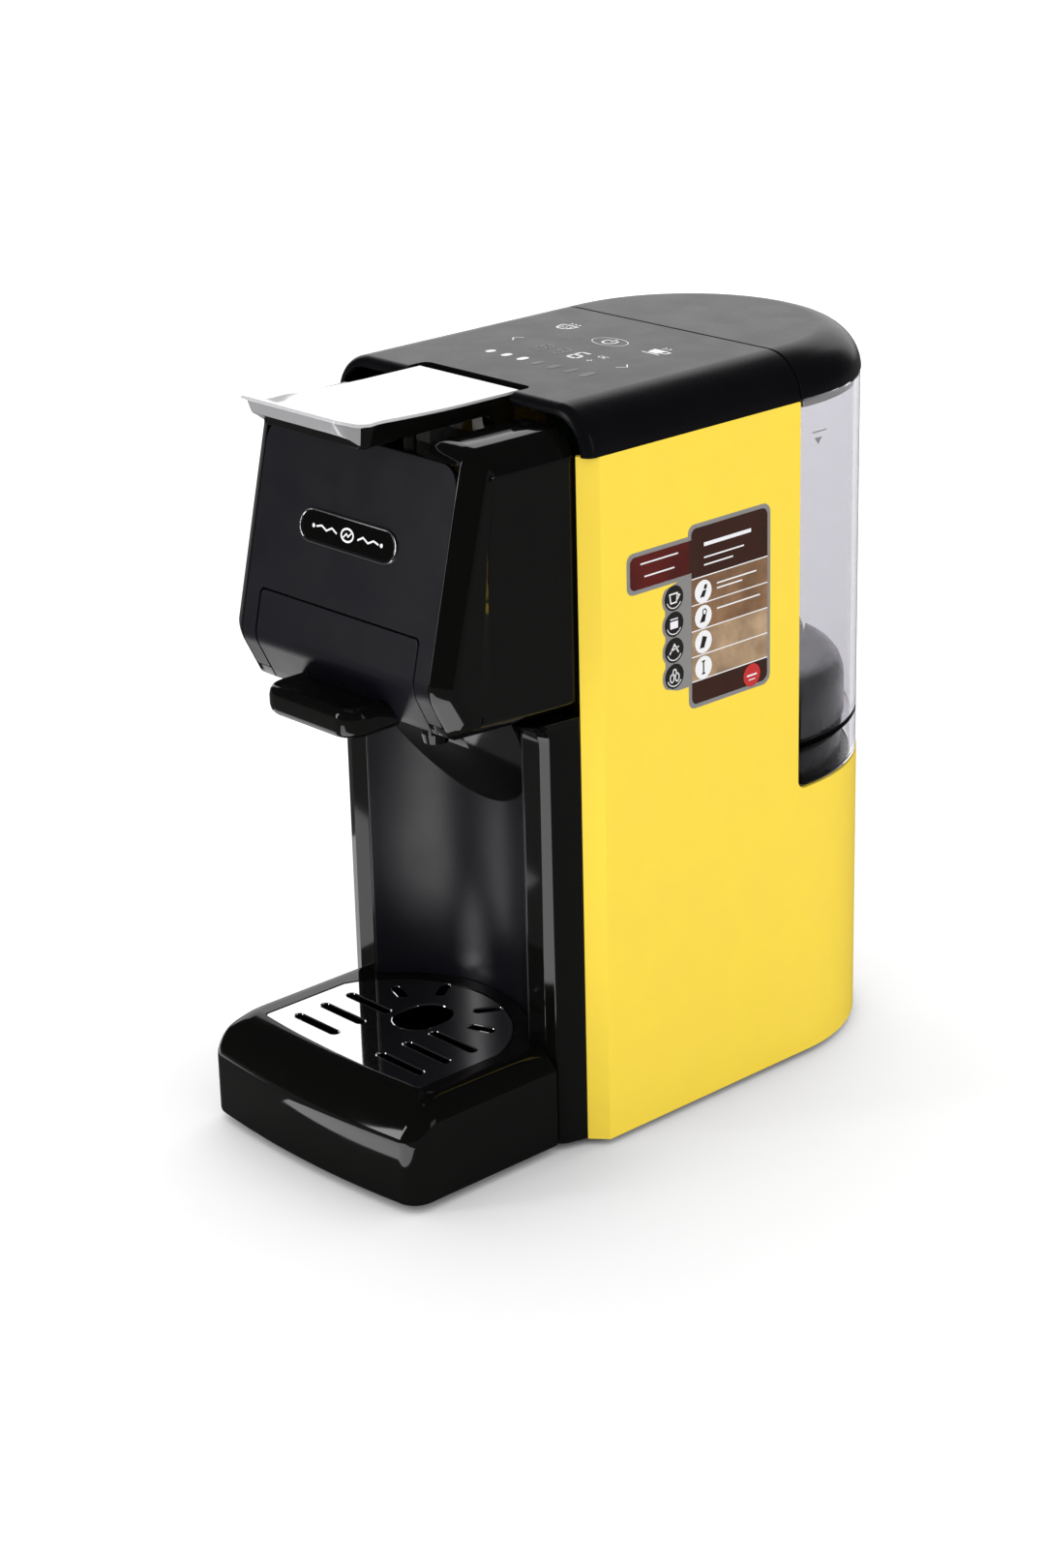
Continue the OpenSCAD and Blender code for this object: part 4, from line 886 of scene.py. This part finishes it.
def buildTray():
    t = trayLook
    bm = bmesh.new()
    # how far the sides and the front are drawn in, and the height
    profile = [(0.8, 0.8, t["low"]), (0.2, 0.2, t["low"] + 0.6), (0, 0, t["low"] + 1.6), (0, 0, 20),
               (0, 0.0, 28), (0, 0.35, 30.4), (0, 1.3, 32.6), (0, 2.9, 34.9), (0.25, 4.4, 36.6),
               (1.1, 6.0, 38.2), (3.0, 8.6, 40.2), (4.9, 11.6, 42.0), (6.2, 14.2, 43.2),
               (7.4, 16.4, 44.0), (8.8, 18.0, 44.4), (10.2, 18.6, t["top"])]
    loops = [trayRing(3.0, 3.0, 7.4, 3.0), trayRing(3.0, 3.0, t["low"], 3.0)]
    loops += [trayRing(a, b, z) for a, b, z in profile]
    rows = loft(bm, loops, capStart=True, capEnd=False)
    last = [bm.verts.new((x, y, t["top"])) for x, y in grillePlan(-0.4)]
    fillLoops(bm, [[v.co for v in rows[-1]], [v.co for v in last]], rows[-1] + last)
    for gap, z in ((-0.4, 42.5), (3.0, 42.5), (3.0, 14.0), (6.0, 11.0)):
        ring = [bm.verts.new((x, y, z)) for x, y in grillePlan(gap)]
        for i in range(len(ring)):
            j = (i + 1) % len(ring)
            bm.faces.new((last[i], last[j], ring[j], ring[i]))
        last = ring
    bm.faces.new(last)
    addPiece("dripTray", bm, "gloss_black", "drip_tray", ["tray_body"], edge=0.4, angle=50)


def raySpot(a):
    turn = math.radians(a)
    return grilleLook["rayAt"] * math.cos(turn), grilleLook["holeY"] + grilleLook["rayAt"] * math.sin(turn)


def buildGrille():
    g = grilleLook
    loops = [grillePlan(0.1)]
    for y in g["rows"]:
        for side in (1, -1):
            loops.append(stadium(g["slotL"], g["slotW"], 8, (side * g["slotX"], y)))
    loops.append(stadium(g["holeL"], g["holeW"], 12, (0, g["holeY"]), 90))
    for a in g["rays"]:
        loops.append(stadium(g["rayL"], g["slotW"], 8, raySpot(a), a))
    bm = bmesh.new()
    flatFill(bm, loops, g["low"] + g["t"])
    made = bmesh.ops.extrude_face_region(bm, geom=bm.faces[:])
    down = [v for v in made["geom"] if isinstance(v, bmesh.types.BMVert)]
    bmesh.ops.translate(bm, vec=(0, 0, -g["t"]), verts=down)
    addPiece("dripGrille", bm, "mirror_steel", "grille", ["drip_grille"], edge=0.4, angle=50)


buildTray()
buildGrille()
print("tray")

# lever
leverLook = {"half": 28.3, "back": -43.2, "front": -119.5, "top": 299.6, "bend": -112.0, "lipTop": 305.0,
             "lipY": -131.0, "lipHalf": 27.0, "rise": 2.2, "riseFrom": -72.0, "riseIn": 22.0, "pinY": -52.0,
             "pinZ": 291.0}


def leverRise(x, y):
    k = leverLook
    along = min(max((k["riseFrom"] - y) / (k["riseFrom"] - k["front"]), 0.0), 1.0)
    across = min(max((abs(x) - k["riseIn"]) / (k["half"] - k["riseIn"]), 0.0), 1.0)
    return k["rise"] * along ** 1.5 * across ** 2


def leverTop(y):
    # height of the plate along the lever: flat, then sweeping up into the lip
    k = leverLook
    if y > k["bend"]:
        return k["top"]
    t = (k["bend"] - y) / (k["bend"] - k["lipY"])
    return k["top"] - 0.9 * math.sin(math.pi * min(t * 1.4, 1.0)) + (k["lipTop"] - k["top"]) * t ** 2.2


def buildLeverPlate():
    k = leverLook
    ys = (k["back"], -50, -60, -72, -80, -88, -96, -104, -110, -113, -116, -119, -122, -124.5, -127, -129,
          -130.4, k["lipY"])
    half = (8, 16, 20, 22, 24, 25.5, 26.6, 27.5, 28.1)
    xs = [-x for x in reversed(half)] + [0, *half]
    rows = []
    for y in ys:
        lip = max(0.0, (-y - 119.5) / 11.5)
        rows.append([(x * (1.0 - 0.045 * lip), y, leverTop(y) + leverRise(x, y) * (1 - min(lip, 1.0)))
                     for x in xs])
    bm = bmesh.new()
    loft(bm, rows, False, False, ring=False)
    addPiece("leverPlate", bm, "mirror_steel", "lever", ["lever_plate"], solid=1.2, edge=0.25, angle=50,
             inside=(0, -80, 200), mat=leverWhite)


def buildLeverLip():
    # a band folded down from the lip, wrapping both ends; its brightness is a painted reflection, a grey
    # base colour on a part-metal finish in place of chrome
    w = leverLook["lipHalf"]
    plan = roundPoly([(-w - 0.6, -118.5), (-w + 0.4, -130.6), (w - 0.4, -130.6), (w + 0.6, -118.5)],
                     [0, 5.0, 5.0, 0], steps=8, closed=False)
    loops = []
    for x, y in plan:
        t = min(max((-118.5 - y) / 12.1, 0), 1)
        topZ = leverTop(y) + leverRise(x, y) * 0.7 - 0.25
        lowZ = 291.6 + 6.8 * t ** 0.8
        tuck = 1.6 * t
        inX = x * 0.965
        loops.append([(x, y, topZ), (x * 1.004, y - 0.35 * t, topZ - 0.8),
                      (x * 1.002, y + 0.3 * tuck, (topZ + lowZ) / 2), (x, y + tuck, lowZ + 0.6),
                      (x * 0.997, y + tuck + 0.5, lowZ), (inX, y + tuck + 2.0 * t + 0.3, lowZ + 0.5),
                      (inX, y + 1.6 * t + 0.2, topZ - 1.0)])
    bm = bmesh.new()
    loft(bm, loops)
    addPiece("leverLip", bm, "chrome_trim", "lever", ["lever_lip"], edge=0, mat=extra["lipMetal"])


def buildLeverBody():
    k = leverLook
    loops = []
    for y, low in ((k["back"] - 0.2, 294.4), (-47, 293.4), (-60, 292.6), (-90, 292.4), (-112, 292.0),
                   (-118.4, 291.6), (-121.0, 292.3)):
        high = leverTop(y) - 1.3
        side = leverRise(k["half"], y)
        h = k["half"] - (0.0 if y > -120 else 1.2)
        loops.append([(-h, y, high + side), (-h, y, low + 0.8), (-h + 0.8, y, low), (h - 0.8, y, low),
                      (h, y, low + 0.8), (h, y, high + side), (h - 1.4, y, high), (-h + 1.4, y, high)])
    bm = bmesh.new()
    loft(bm, loops)
    # ears round the pin
    ring = arc(k["pinY"], k["pinZ"], 6.4, 0, 350, 35)
    for side in (1, -1):
        loft(bm, [[(side * x, y, z) for y, z in ring] for x in (23.9, 28.2)])
    addPiece("leverBody", bm, "gloss_black", "lever", ["lever_body"], edge=0.3, angle=50)


leverWhite = brushedMat("leverPlate", (0.93, 0.93, 0.94), (0.16, 0.2), bump=0.0, metal=0.45)
buildLeverPlate()
buildLeverLip()
buildLeverBody()
print("lever")

# repeated pieces by geometry nodes
def makeRepeatTree():
    # one shape on every point, turned and sized by the points' own attributes
    tree = bpy.data.node_groups.new("repeatOnPoints", "GeometryNodeTree")
    for title, kind in (("Points", "Geometry"), ("Shape", "Object"), ("Finish", "Material")):
        tree.interface.new_socket(title, in_out="INPUT", socket_type="NodeSocket" + kind)
    tree.interface.new_socket("Result", in_out="OUTPUT", socket_type="NodeSocketGeometry")
    start = addNode(tree, "NodeGroupInput")
    end = addNode(tree, "NodeGroupOutput")
    shape = addNode(tree, "GeometryNodeObjectInfo", transform_space="ORIGINAL")
    onPoints = addNode(tree, "GeometryNodeInstanceOnPoints")
    turn = addNode(tree, "GeometryNodeInputNamedAttribute", {"Name": "turn"}, data_type="FLOAT_VECTOR")
    spin = addNode(tree, "FunctionNodeEulerToRotation")
    size = addNode(tree, "GeometryNodeInputNamedAttribute", {"Name": "size"}, data_type="FLOAT_VECTOR")
    real = addNode(tree, "GeometryNodeRealizeInstances")
    finish = addNode(tree, "GeometryNodeSetMaterial")
    wire(tree, (start, "Points", onPoints, "Points"), (start, "Shape", shape, "Object"),
         (shape, "Geometry", onPoints, "Instance"), (turn, "Attribute", spin, "Euler"),
         (spin, "Rotation", onPoints, "Rotation"), (size, "Attribute", onPoints, "Scale"),
         (onPoints, "Instances", real, "Geometry"), (real, "Geometry", finish, "Geometry"),
         (start, "Finish", finish, "Material"), (finish, "Geometry", end, "Result"))
    return tree


repeatTree = makeRepeatTree()


def socketId(tree, title):
    for item in tree.interface.items_tree:
        if item.name == title and item.in_out == "INPUT":
            return item.identifier


def repeatPiece(name, shape, spots, slot, body, mat=None, lay=None):
    # spots: (place, turn, size) in mm, degrees and factors; shape: a bmesh in mm
    bmesh.ops.recalc_face_normals(shape, faces=shape.faces)
    bmesh.ops.scale(shape, vec=(mm, mm, mm), verts=shape.verts)
    shapeMesh = toMesh(name + "Shape", shape)
    shapeMesh.shade_smooth()
    shapeMesh.set_sharp_from_angle(angle=math.radians(40))
    shapeObj = bpy.data.objects.new(name + "Shape", shapeMesh)
    mesh = bpy.data.meshes.new(name)
    mesh.from_pydata([[v * mm for v in place] for place, turn, size in spots], [], [])
    turns = mesh.attributes.new("turn", "FLOAT_VECTOR", "POINT")
    sizes = mesh.attributes.new("size", "FLOAT_VECTOR", "POINT")
    for i, (place, turn, size) in enumerate(spots):
        turns.data[i].vector = [math.radians(v) for v in turn]
        sizes.data[i].vector = size
    obj = newObject(name, mesh)
    mod = obj.modifiers.new("repeat", "NODES")
    mod.node_group = repeatTree
    mod[socketId(repeatTree, "Shape")] = shapeObj
    mod[socketId(repeatTree, "Finish")] = mat or mats[slot]
    settle(obj)
    if lay is not None:
        obj.data.transform(lay)
    bpy.data.objects.remove(shapeObj)
    declare(obj, body)


# bright rolled rims round the grille's slots
rimLook = {"wire": 0.42, "rise": 0.12, "inset": 0.5, "steps": 8}


def rimShape(length, width):
    k = rimLook
    bm = bmesh.new()
    loops = []
    for i in range(k["steps"]):
        a = 2 * math.pi * i / k["steps"]
        grow = k["wire"] * math.cos(a)
        ring = stadium(length - k["inset"] + 2 * grow, width - k["inset"] + 2 * grow, 10)
        loops.append([(x, y, k["wire"] * math.sin(a)) for x, y in ring])
    rows = loft(bm, loops, False, False)
    for i in range(len(rows[0])):
        j = (i + 1) % len(rows[0])
        bm.faces.new((rows[-1][i], rows[-1][j], rows[0][j], rows[0][i]))
    return bm


def buildRims():
    g = grilleLook
    z = g["low"] + g["t"] - rimLook["wire"] + rimLook["rise"]
    one = (1, 1, 1)
    slots = [((side * g["slotX"], y, z), (0, 0, 0), one) for y in g["rows"] for side in (1, -1)]
    rays = [((*raySpot(a), z), (0, 0, a), one) for a in g["rays"]]
    hole = [((0, g["holeY"], z), (0, 0, 90), one)]
    repeatPiece("slotRims", rimShape(g["slotL"], g["slotW"]), slots, "mirror_steel", "grille")
    repeatPiece("rayRims", rimShape(g["rayL"], g["slotW"]), rays, "mirror_steel", "grille")
    repeatPiece("holeRim", rimShape(g["holeL"], g["holeW"]), hole, "mirror_steel", "grille")


buildRims()
print("rims")


# printed marks
def ribbon(points, width, closed=False):
    # flat outline polygons that follow a line, one per stretch, with mitred joints
    count = len(points)
    spots = [Vector(p) for p in points]
    sides = []
    for i, p in enumerate(spots):
        before = spots[i - 1] if closed or i > 0 else p - (spots[1] - p)
        after = spots[(i + 1) % count] if closed or i < count - 1 else p + (p - spots[i - 1])
        a = (p - before).normalized()
        b = (after - p).normalized()
        normal = Vector((-(a + b).y, (a + b).x)).normalized()
        reach = width / 2 / max(normal.dot(Vector((-a.y, a.x))), 0.4)
        sides.append((p + normal * reach, p - normal * reach))
    polys = []
    for i in range(count if closed else count - 1):
        j = (i + 1) % count
        polys.append([tuple(v) for v in (sides[i][0], sides[i][1], sides[j][1], sides[j][0])])
    return polys


def strokes(cx, cy, marks):
    # marks: points, width and whether closed, and a width of 0 fills the outline
    polys = []
    for points, width, closed in marks:
        moved = [(cx + x, cy + y) for x, y in points]
        polys += ribbon(moved, width, closed) if width else [moved]
    return polys


def ellipse(cx, cy, rx, ry, first=0, last=360, steps=24):
    angles = [first + (last - first) * i / steps for i in range(steps + (last - first < 360))]
    return [(cx + rx * math.cos(math.radians(a)), cy + ry * math.sin(math.radians(a))) for a in angles]


def quad(x0, y0, x1, y1):
    return [(x0, y0), (x1, y0), (x1, y1), (x0, y1)]


def addPrint(name, loops, place, mat, body="machine", replaces=()):
    bm = bmesh.new()
    for loop in loops:
        bm.faces.new([bm.verts.new(place(x, y)) for x, y in loop])
    bmesh.ops.scale(bm, vec=(mm, mm, mm), verts=bm.verts)
    bm.normal_update()
    mesh = toMesh(name, bm)
    mesh.materials.append(mat)
    declare(newObject(name, mesh), body, replaces)


printLook = {"lift": 0.06, "barX": 4.0, "barStep": 9.2, "barY": -11.0, "digitX": -12.6, "digitStep": 10.0,
             "digitY": 7.5, "digitW": 6.4, "digitH": 9.6, "digitT": 1.25}


def onTop(x, y):
    return x, y, totalH + printLook["lift"]


def segments(place, on):
    # one digit of seven segments, with those named in on
    k = printLook
    cx = k["digitX"] + k["digitStep"] * place
    x = k["digitW"] / 2 - k["digitT"] / 2
    y = k["digitH"] / 2 - k["digitT"] / 2
    g = 0.35
    lines = {"a": ((-x + g, y), (x - g, y)), "b": ((x, y - g), (x, g)), "c": ((x, -g), (x, -y + g)),
             "d": ((-x + g, -y), (x - g, -y)), "e": ((-x, -g), (-x, -y + g)), "f": ((-x, y - g), (-x, g)),
             "g": ((-x + g, 0), (x - g, 0))}
    return strokes(cx, k["digitY"], [(lines[key], k["digitT"], False) for key in on])


def topPrint():
    k = printLook
    bright = []
    for i in range(3):
        at = (k["barX"] + (i - 3) * k["barStep"], k["barY"] + 0.6)
        bright.append(stadium(4.6 + 0.5 * i, 3.6, 6, at, 90))
    addPrint("barsLit", bright, onTop, extra["printWhite"])
    dull = [stadium(6.2 + 0.7 * i, 3.3, 6, (k["barX"] + i * k["barStep"], k["barY"]), 90) for i in range(4)]
    marks = segments(0, "abcdefg") + segments(1, "abcdfg")
    addPrint("displayDim", dull + marks, onTop, extra["printGrey"])
    lit = [(ellipse(15.6, 11.6, 1.1, 1.1), 0.5, True),
           ([(19.0, 12.6), (17.4, 12.6), (17.4, 10.4), (19.0, 10.4)], 0.5, False),
           ([(15.0, 4.4), (18.0, 4.4)], 0.5, False), ([(16.5, 5.9), (16.5, 2.9)], 0.5, False),
           ([(-30.4, 13.6), (-33.4, 10.6), (-30.4, 7.6)], 0.55, False),
           ([(32.0, 9.6), (35.0, 6.6), (32.0, 3.6)], 0.55, False),
           (ellipse(0.6, 31.0, 8.6, 5.4, 0, 360, 40), 0.4, True),
           (ellipse(0.6, 31.0, 3.0, 3.0, 125, 415, 24), 0.95, False),
           ([(0.6, 35.2), (0.6, 31.4)], 0.95, False)]
    # a bowl with steam
    lit += [([(-35.6, 39.6), (-26.4, 39.6)], 0.9, False),
            ([(-35.2, 39.2), (-34.4, 35.6), (-32.8, 34.0), (-29.2, 34.0), (-27.6, 35.6), (-26.8, 39.2)],
             0.9, False)]
    for x in (-33.2, -31.0, -28.8):
        lit += [([(x, 37.8), (x + 0.7, 36.6), (x, 35.4)], 0.6, False),
                ([(x, 43.0), (x + 0.8, 41.8), (x, 40.8)], 0.6, False)]
    # a cup with a handle
    lit += [([(22.0, 34.6), (22.9, 29.4), (28.2, 29.4), (29.1, 34.6)], 0, False),
            ([(29.0, 33.8), (31.6, 33.4), (31.4, 31.0), (28.7, 30.6)], 0.8, False),
            ([(21.0, 28.3), (30.4, 28.3)], 0.8, False)]
    for x in (24.4, 27.0):
        lit.append(([(x, 38.6), (x + 0.8, 37.4), (x, 36.0)], 0.6, False))
    addPrint("displayLit", segments(2, "acdefg") + strokes(0, 0, lit), onTop, extra["printWhite"])


labelLook = {"x": 0.05, "layer": 0.05, "border": 1.7, "main": (1.5, 171.6, 47.0, 245.6),
             "tab": (-31.2, 225.0, 3.0, 241.4), "badgeY": -6.4, "badgeR": 5.0,
             "badgeZ": (219.0, 208.6, 198.1, 187.6), "dotY": 9.4, "dotR": 4.6,
             "dotZ": (218.0, 207.9, 197.7, 187.3), "rows": (224.0, 213.4, 203.0, 192.6, 182.6),
             "spot": (36.5, 177.3), "spotR": 4.7}

# marks about the middle of each badge and each dot, from the top down
badgeMarks = [
    [([(-2.4, 1.8), (-1.8, -1.8), (1.2, -1.8), (1.8, 1.8)], 0.6, True),
     ([(1.8, 1.2), (3.0, 0.8), (1.6, -1.0)], 0.5, False)],
    [(quad(-2.2, -1.7, 2.0, 1.2), 0, False), ([(-2.2, 2.1), (2.0, 2.1)], 0.5, False)],
    [([(-2.6, -1.2), (0, 2.4), (2.2, -1.2)], 0.6, False), ([(-1.8, 0), (2.4, 1.2)], 0.5, False)],
    [(ellipse(-1.4, -0.6, 1.0, 1.6), 0.5, True), (ellipse(1.4, -0.6, 1.0, 1.6), 0.5, True),
     (ellipse(0, 1.6, 0.9, 1.2), 0.5, True)],
]
dotMarks = [
    [([(-1.8, -2.2), (0.6, -2.2), (1.8, 0.4), (-0.2, 0.4)], 0, False),
     ([(0.2, 0.8), (1.8, 0.8), (2.2, 2.6), (0.8, 2.6)], 0, False)],
    [([(-1.9, -2.2), (0.8, -2.2), (1.6, 0.8), (-0.4, 0.8)], 0, False),
     (ellipse(0.7, 1.7, 1.0, 1.2), 0.5, True)],
    [([(-2.0, -2.4), (0.4, -2.4), (2.0, 1.6), (-0.4, 2.4)], 0, False)],
    [([(0, -2.4), (0, 2.4)], 0.7, False), ([(-0.9, 2.5), (0.9, 2.5)], 0.6, False),
     ([(-0.9, -2.5), (0.9, -2.5)], 0.6, False)],
]


def onSide(layer):
    lift = labelLook["x"] + labelLook["layer"] * layer

    def place(y, z):
        return halfW + lift, y, z
    return place


def labelPrint(name, loops, layer, mat, replaces=()):
    addPrint(name, loops, onSide(layer), mat, replaces=replaces)


def labelBacking():
    # foil backing: block, tab and a strip with four bulges
    k = labelLook
    b = k["border"]
    y0, z0, y1, z1 = k["main"]
    t0, s0, t1, s1 = k["tab"]
    foot = k["badgeZ"][3] - k["badgeR"] - 1.3
    bulge = [(y0 - 1.0, 226.0)]
    for z in k["badgeZ"]:
        bulge += arc(k["badgeY"], z, k["badgeR"] + 1.3, 138, 222, 8)
    bulge += [(y0 - 6.0, foot), (y0 + 3.0, foot), (y0 + 3.0, 226.0)]
    block = roundPoly(quad(y0, z0, y1, z1), [3.4, 4.2, 4.2, 3.4], 8)
    tab = roundPoly(quad(t0, s0, t1, s1), [3.4, 0.2, 0.2, 3.4], 8)
    labelPrint("labelFoil", [block], 0, extra["silverFoil"], ["side_label"])
    labelPrint("labelFoilTab", [tab], 0.2, extra["silverFoil"])
    labelPrint("labelFoilEdge", [bulge], 0.4, extra["silverFoil"])
    inner = roundPoly(quad(y0 + b, z0 + b, y1 - b, z1 - b), [2.6, 3.2, 3.2, 2.6], 8)
    labelPrint("labelBlock", [inner], 1, mats["label_print"])
    labelPrint("labelJoin", [quad(t1 - 3, s0 + b, y0 + b + 3, s1 - b)], 1.2, mats["label_print"])
    glow = roundPoly(quad(t0 + b, s0 + b, t1 - 1, s1 - b), [2.6, 0, 0, 2.6], 8)
    labelPrint("labelGlow", [glow], 1.4, extra["labelGlow"])


def labelRows():
    k = labelLook
    rows = k["rows"]
    ya = k["main"][0] + k["border"]
    yb = k["main"][2] - k["border"]
    labelPrint("labelRowsDark", [quad(ya, rows[2], yb, rows[0])], 1.5, extra["labelCrema"])
    labelPrint("labelRowsLight", [quad(ya, rows[4], yb, rows[2])], 1.5, extra["labelCream"])
    lines = []
    for z in rows:
        lines += ribbon([(ya, z), (yb, z)], 0.45)
    for z, y, w in ((236.6, 10, 26), (231.4, 10, 22), (228.4, 10, 16), (219.6, 17, 22), (217.6, 17, 14),
                    (209.4, 17, 24), (236.4, -24, 20), (231.2, -22, 16)):
        lines += ribbon([(y, z), (y + w, z)], 1.5 if z > 236.5 else 0.6)
    labelPrint("labelLines", lines, 2, extra["printWhite"])


def labelDiscs():
    k = labelLook
    ring = ellipse(0, 0, 1, 1, 0, 360, 32)
    toSide = Matrix(((0, 0, 1, (halfW + 0.17) * mm), (1, 0, 0, 0), (0, 1, 0, 0), (0, 0, 0, 1)))
    for name, y, zs, r, lift, mat in (
            ("labelBadges", k["badgeY"], k["badgeZ"], k["badgeR"], 0, extra["labelBlack"]),
            ("labelDots", k["dotY"], k["dotZ"], k["dotR"], 0.06, extra["printWhite"])):
        disc = bmesh.new()
        flatFill(disc, [ring])
        spots = [((y, z, lift), (0, 0, 0), (r, r, 1)) for z in zs]
        repeatPiece(name, disc, spots, "label_print", "machine", mat=mat, lay=toSide)
    icons = []
    for z in k["badgeZ"]:
        icons += ribbon(arc(k["badgeY"], z, k["dotR"] * 0.86, 200, 330, 14), 0.4)
    for z, marks in zip(k["badgeZ"], badgeMarks):
        icons += strokes(k["badgeY"], z, marks)
    labelPrint("labelIcons", icons, 4, extra["printWhite"])
    dark = []
    for z, marks in zip(k["dotZ"], dotMarks):
        dark += strokes(k["dotY"], z, marks)
    labelPrint("labelDotIcons", dark, 4.2, extra["labelBlack"])
    labelPrint("labelSpot", [ellipse(*k["spot"], k["spotR"], k["spotR"], 0, 360, 32)], 2.5,
               extra["labelRed"])
    mark = [([(-2.8, 0), (2.8, 0)], 0.7, False), ([(-1.8, -1.8), (1.8, -1.8)], 0.4, False)]
    labelPrint("labelSpotMark", strokes(*k["spot"], mark), 3, extra["printWhite"])


def tankMark():
    def place(y, z):
        return halfW - tankLook["gap"] + 0.05, y, z
    marks = ribbon([(71.0, 268.0), (79.0, 268.0)], 0.5)
    marks += [[(72.4, 265.6), (76.6, 265.6), (74.5, 262.8)]]
    addPrint("tankMark", marks, place, extra["markGrey"], body="water_tank")


def badgeMark():
    # a small bean with two curls in place of a name
    place = onFaceMap(0.66)
    loops = ribbon(ellipse(0, 0, 3.4, 2.4, 0, 360, 28), 0.8, True)
    loops += ribbon([(-2.2, -1.2), (-0.6, 0.5), (0.6, -0.5), (2.2, 1.2)], 0.6)
    curl = ((6.0, -0.6), (9.0, 0.9), (12.0, -0.6), (15.0, 0.8), (18.0, 0.0))
    for side in (1, -1):
        loops += ribbon([(side * x, y) for x, y in curl], 0.7)
        loops.append(ellipse(side * 19.6, 0, 0.8, 0.8))
    addPrint("badgeMark", loops, place, extra["printWhite"])


topPrint()
labelBacking()
labelRows()
labelDiscs()
tankMark()
badgeMark()
print("print")

# carried-over nodes
slotOf = {row["node"]: row["material_slot"] for row in frame["record"]["subparts"]}
for node, obj in frame["nodes"].items():
    for holder in obj.material_slots:
        holder.material = mats[slotOf[node]]
    if not obj.material_slots:
        obj.data.materials.append(mats[slotOf[node]])

# floor, lights and camera
stageLook = {"size": 12.0, "floor": (0.95, 0.95, 0.95, 1), "floorMirrored": (0.1, 0.1, 0.1, 1),
             "world": 1.08, "worldMirrored": (0.02, 0.02, 0.022, 1)}


def mirrorRay(tree):
    # one for reflections only, not for what is seen through the clear tank
    path = addNode(tree, "ShaderNodeLightPath")
    less = addNode(tree, "ShaderNodeMath", operation="SUBTRACT", use_clamp=True)
    wire(tree, (path, "Is Glossy Ray", less, 0), (path, "Is Transmission Ray", less, 1))
    return less


def buildFloor():
    bm = bmesh.new()
    bmesh.ops.create_grid(bm, x_segments=2, y_segments=2, size=stageLook["size"])
    obj = newObject("floor", toMesh("floor", bm))
    mat, tree, shader = newMat("floorPale")
    setInputs(shader, {"Roughness": 0.9, "Specular IOR Level": 0.0})
    mix = addNode(tree, "ShaderNodeMix", {"A": stageLook["floor"], "B": stageLook["floorMirrored"]},
                  data_type="RGBA")
    wire(tree, (mirrorRay(tree), "Value", mix, "Factor"), (mix, "Result", shader, "Base Color"))
    obj.data.materials.append(mat)


def buildWorld():
    world = bpy.data.worlds.new("studio")
    bpy.context.scene.world = world
    world.use_nodes = True
    tree = world.node_tree
    lit = tree.nodes["Background"]
    setInputs(lit, {"Color": (1, 1, 1, 1), "Strength": stageLook["world"]})
    dim = addNode(tree, "ShaderNodeBackground", {"Color": stageLook["worldMirrored"]})
    mix = addNode(tree, "ShaderNodeMixShader")
    wire(tree, (mirrorRay(tree), "Value", mix, "Fac"), (lit, "Background", mix, 1),
         (dim, "Background", mix, 2), (mix, "Shader", tree.nodes["World Output"], "Surface"))


def addLight(name, at, aim, width, height, power):
    data = bpy.data.lights.new(name, "AREA")
    data.shape = "RECTANGLE"
    data.size = width
    data.size_y = height
    data.energy = power
    obj = newObject(name, data)
    forward = (Vector(aim) - Vector(at)).normalized()
    obj.matrix_world = Matrix.Translation(at) @ forward.to_track_quat("-Z", "Y").to_matrix().to_4x4()
    obj.visible_camera = False


cameraLook = {"at": (0.9063746, -0.8439168, 0.6011448), "az": 47.7623783, "el": 21.1232053,
              "roll": -1.4793518, "lens": 74.96}


def buildCamera():
    c = cameraLook
    az = math.radians(c["az"])
    el = math.radians(c["el"])
    roll = math.radians(c["roll"])
    back = Vector((math.sin(az) * math.cos(el), -math.cos(az) * math.cos(el), math.sin(el)))
    right = (-back).cross(Vector((0, 0, 1))).normalized()
    up = right.cross(-back)
    turned = math.cos(roll) * right + math.sin(roll) * up
    turnedUp = -math.sin(roll) * right + math.cos(roll) * up
    data = bpy.data.cameras.new("camera")
    data.lens = c["lens"]
    data.sensor_width = 36.0
    data.sensor_height = 36.0
    data.sensor_fit = "AUTO"
    data.clip_end = 50.0
    obj = newObject("camera", data)
    turn = Matrix((turned, turnedUp, back)).transposed().to_4x4()
    obj.matrix_world = Matrix.Translation(c["at"]) @ turn
    bpy.context.scene.camera = obj


buildFloor()
buildWorld()
addLight("rearBox", (-1.5, 1.5, 0.95), (0, 0, 0.2), 3.2, 1.7, 20)
addLight("lowFront", (0.03, -0.42, 0.004), (0.03, -0.42, 1), 0.16, 0.5, 0.6)
addLight("lowLeft", (-0.22, -0.14, 0.004), (-0.22, -0.14, 1), 0.16, 0.2, 0.12)
addLight("sideBox", (1.9, 0.5, 0.8), (0, 0, 0.15), 0.8, 1.2, 2)
addLight("frontBox", (-0.9, -1.7, 0.8), (0, -0.05, 0.15), 0.3, 1.2, 6)
buildCamera()
bpy.context.scene.view_settings.view_transform = "Standard"
print("stage")
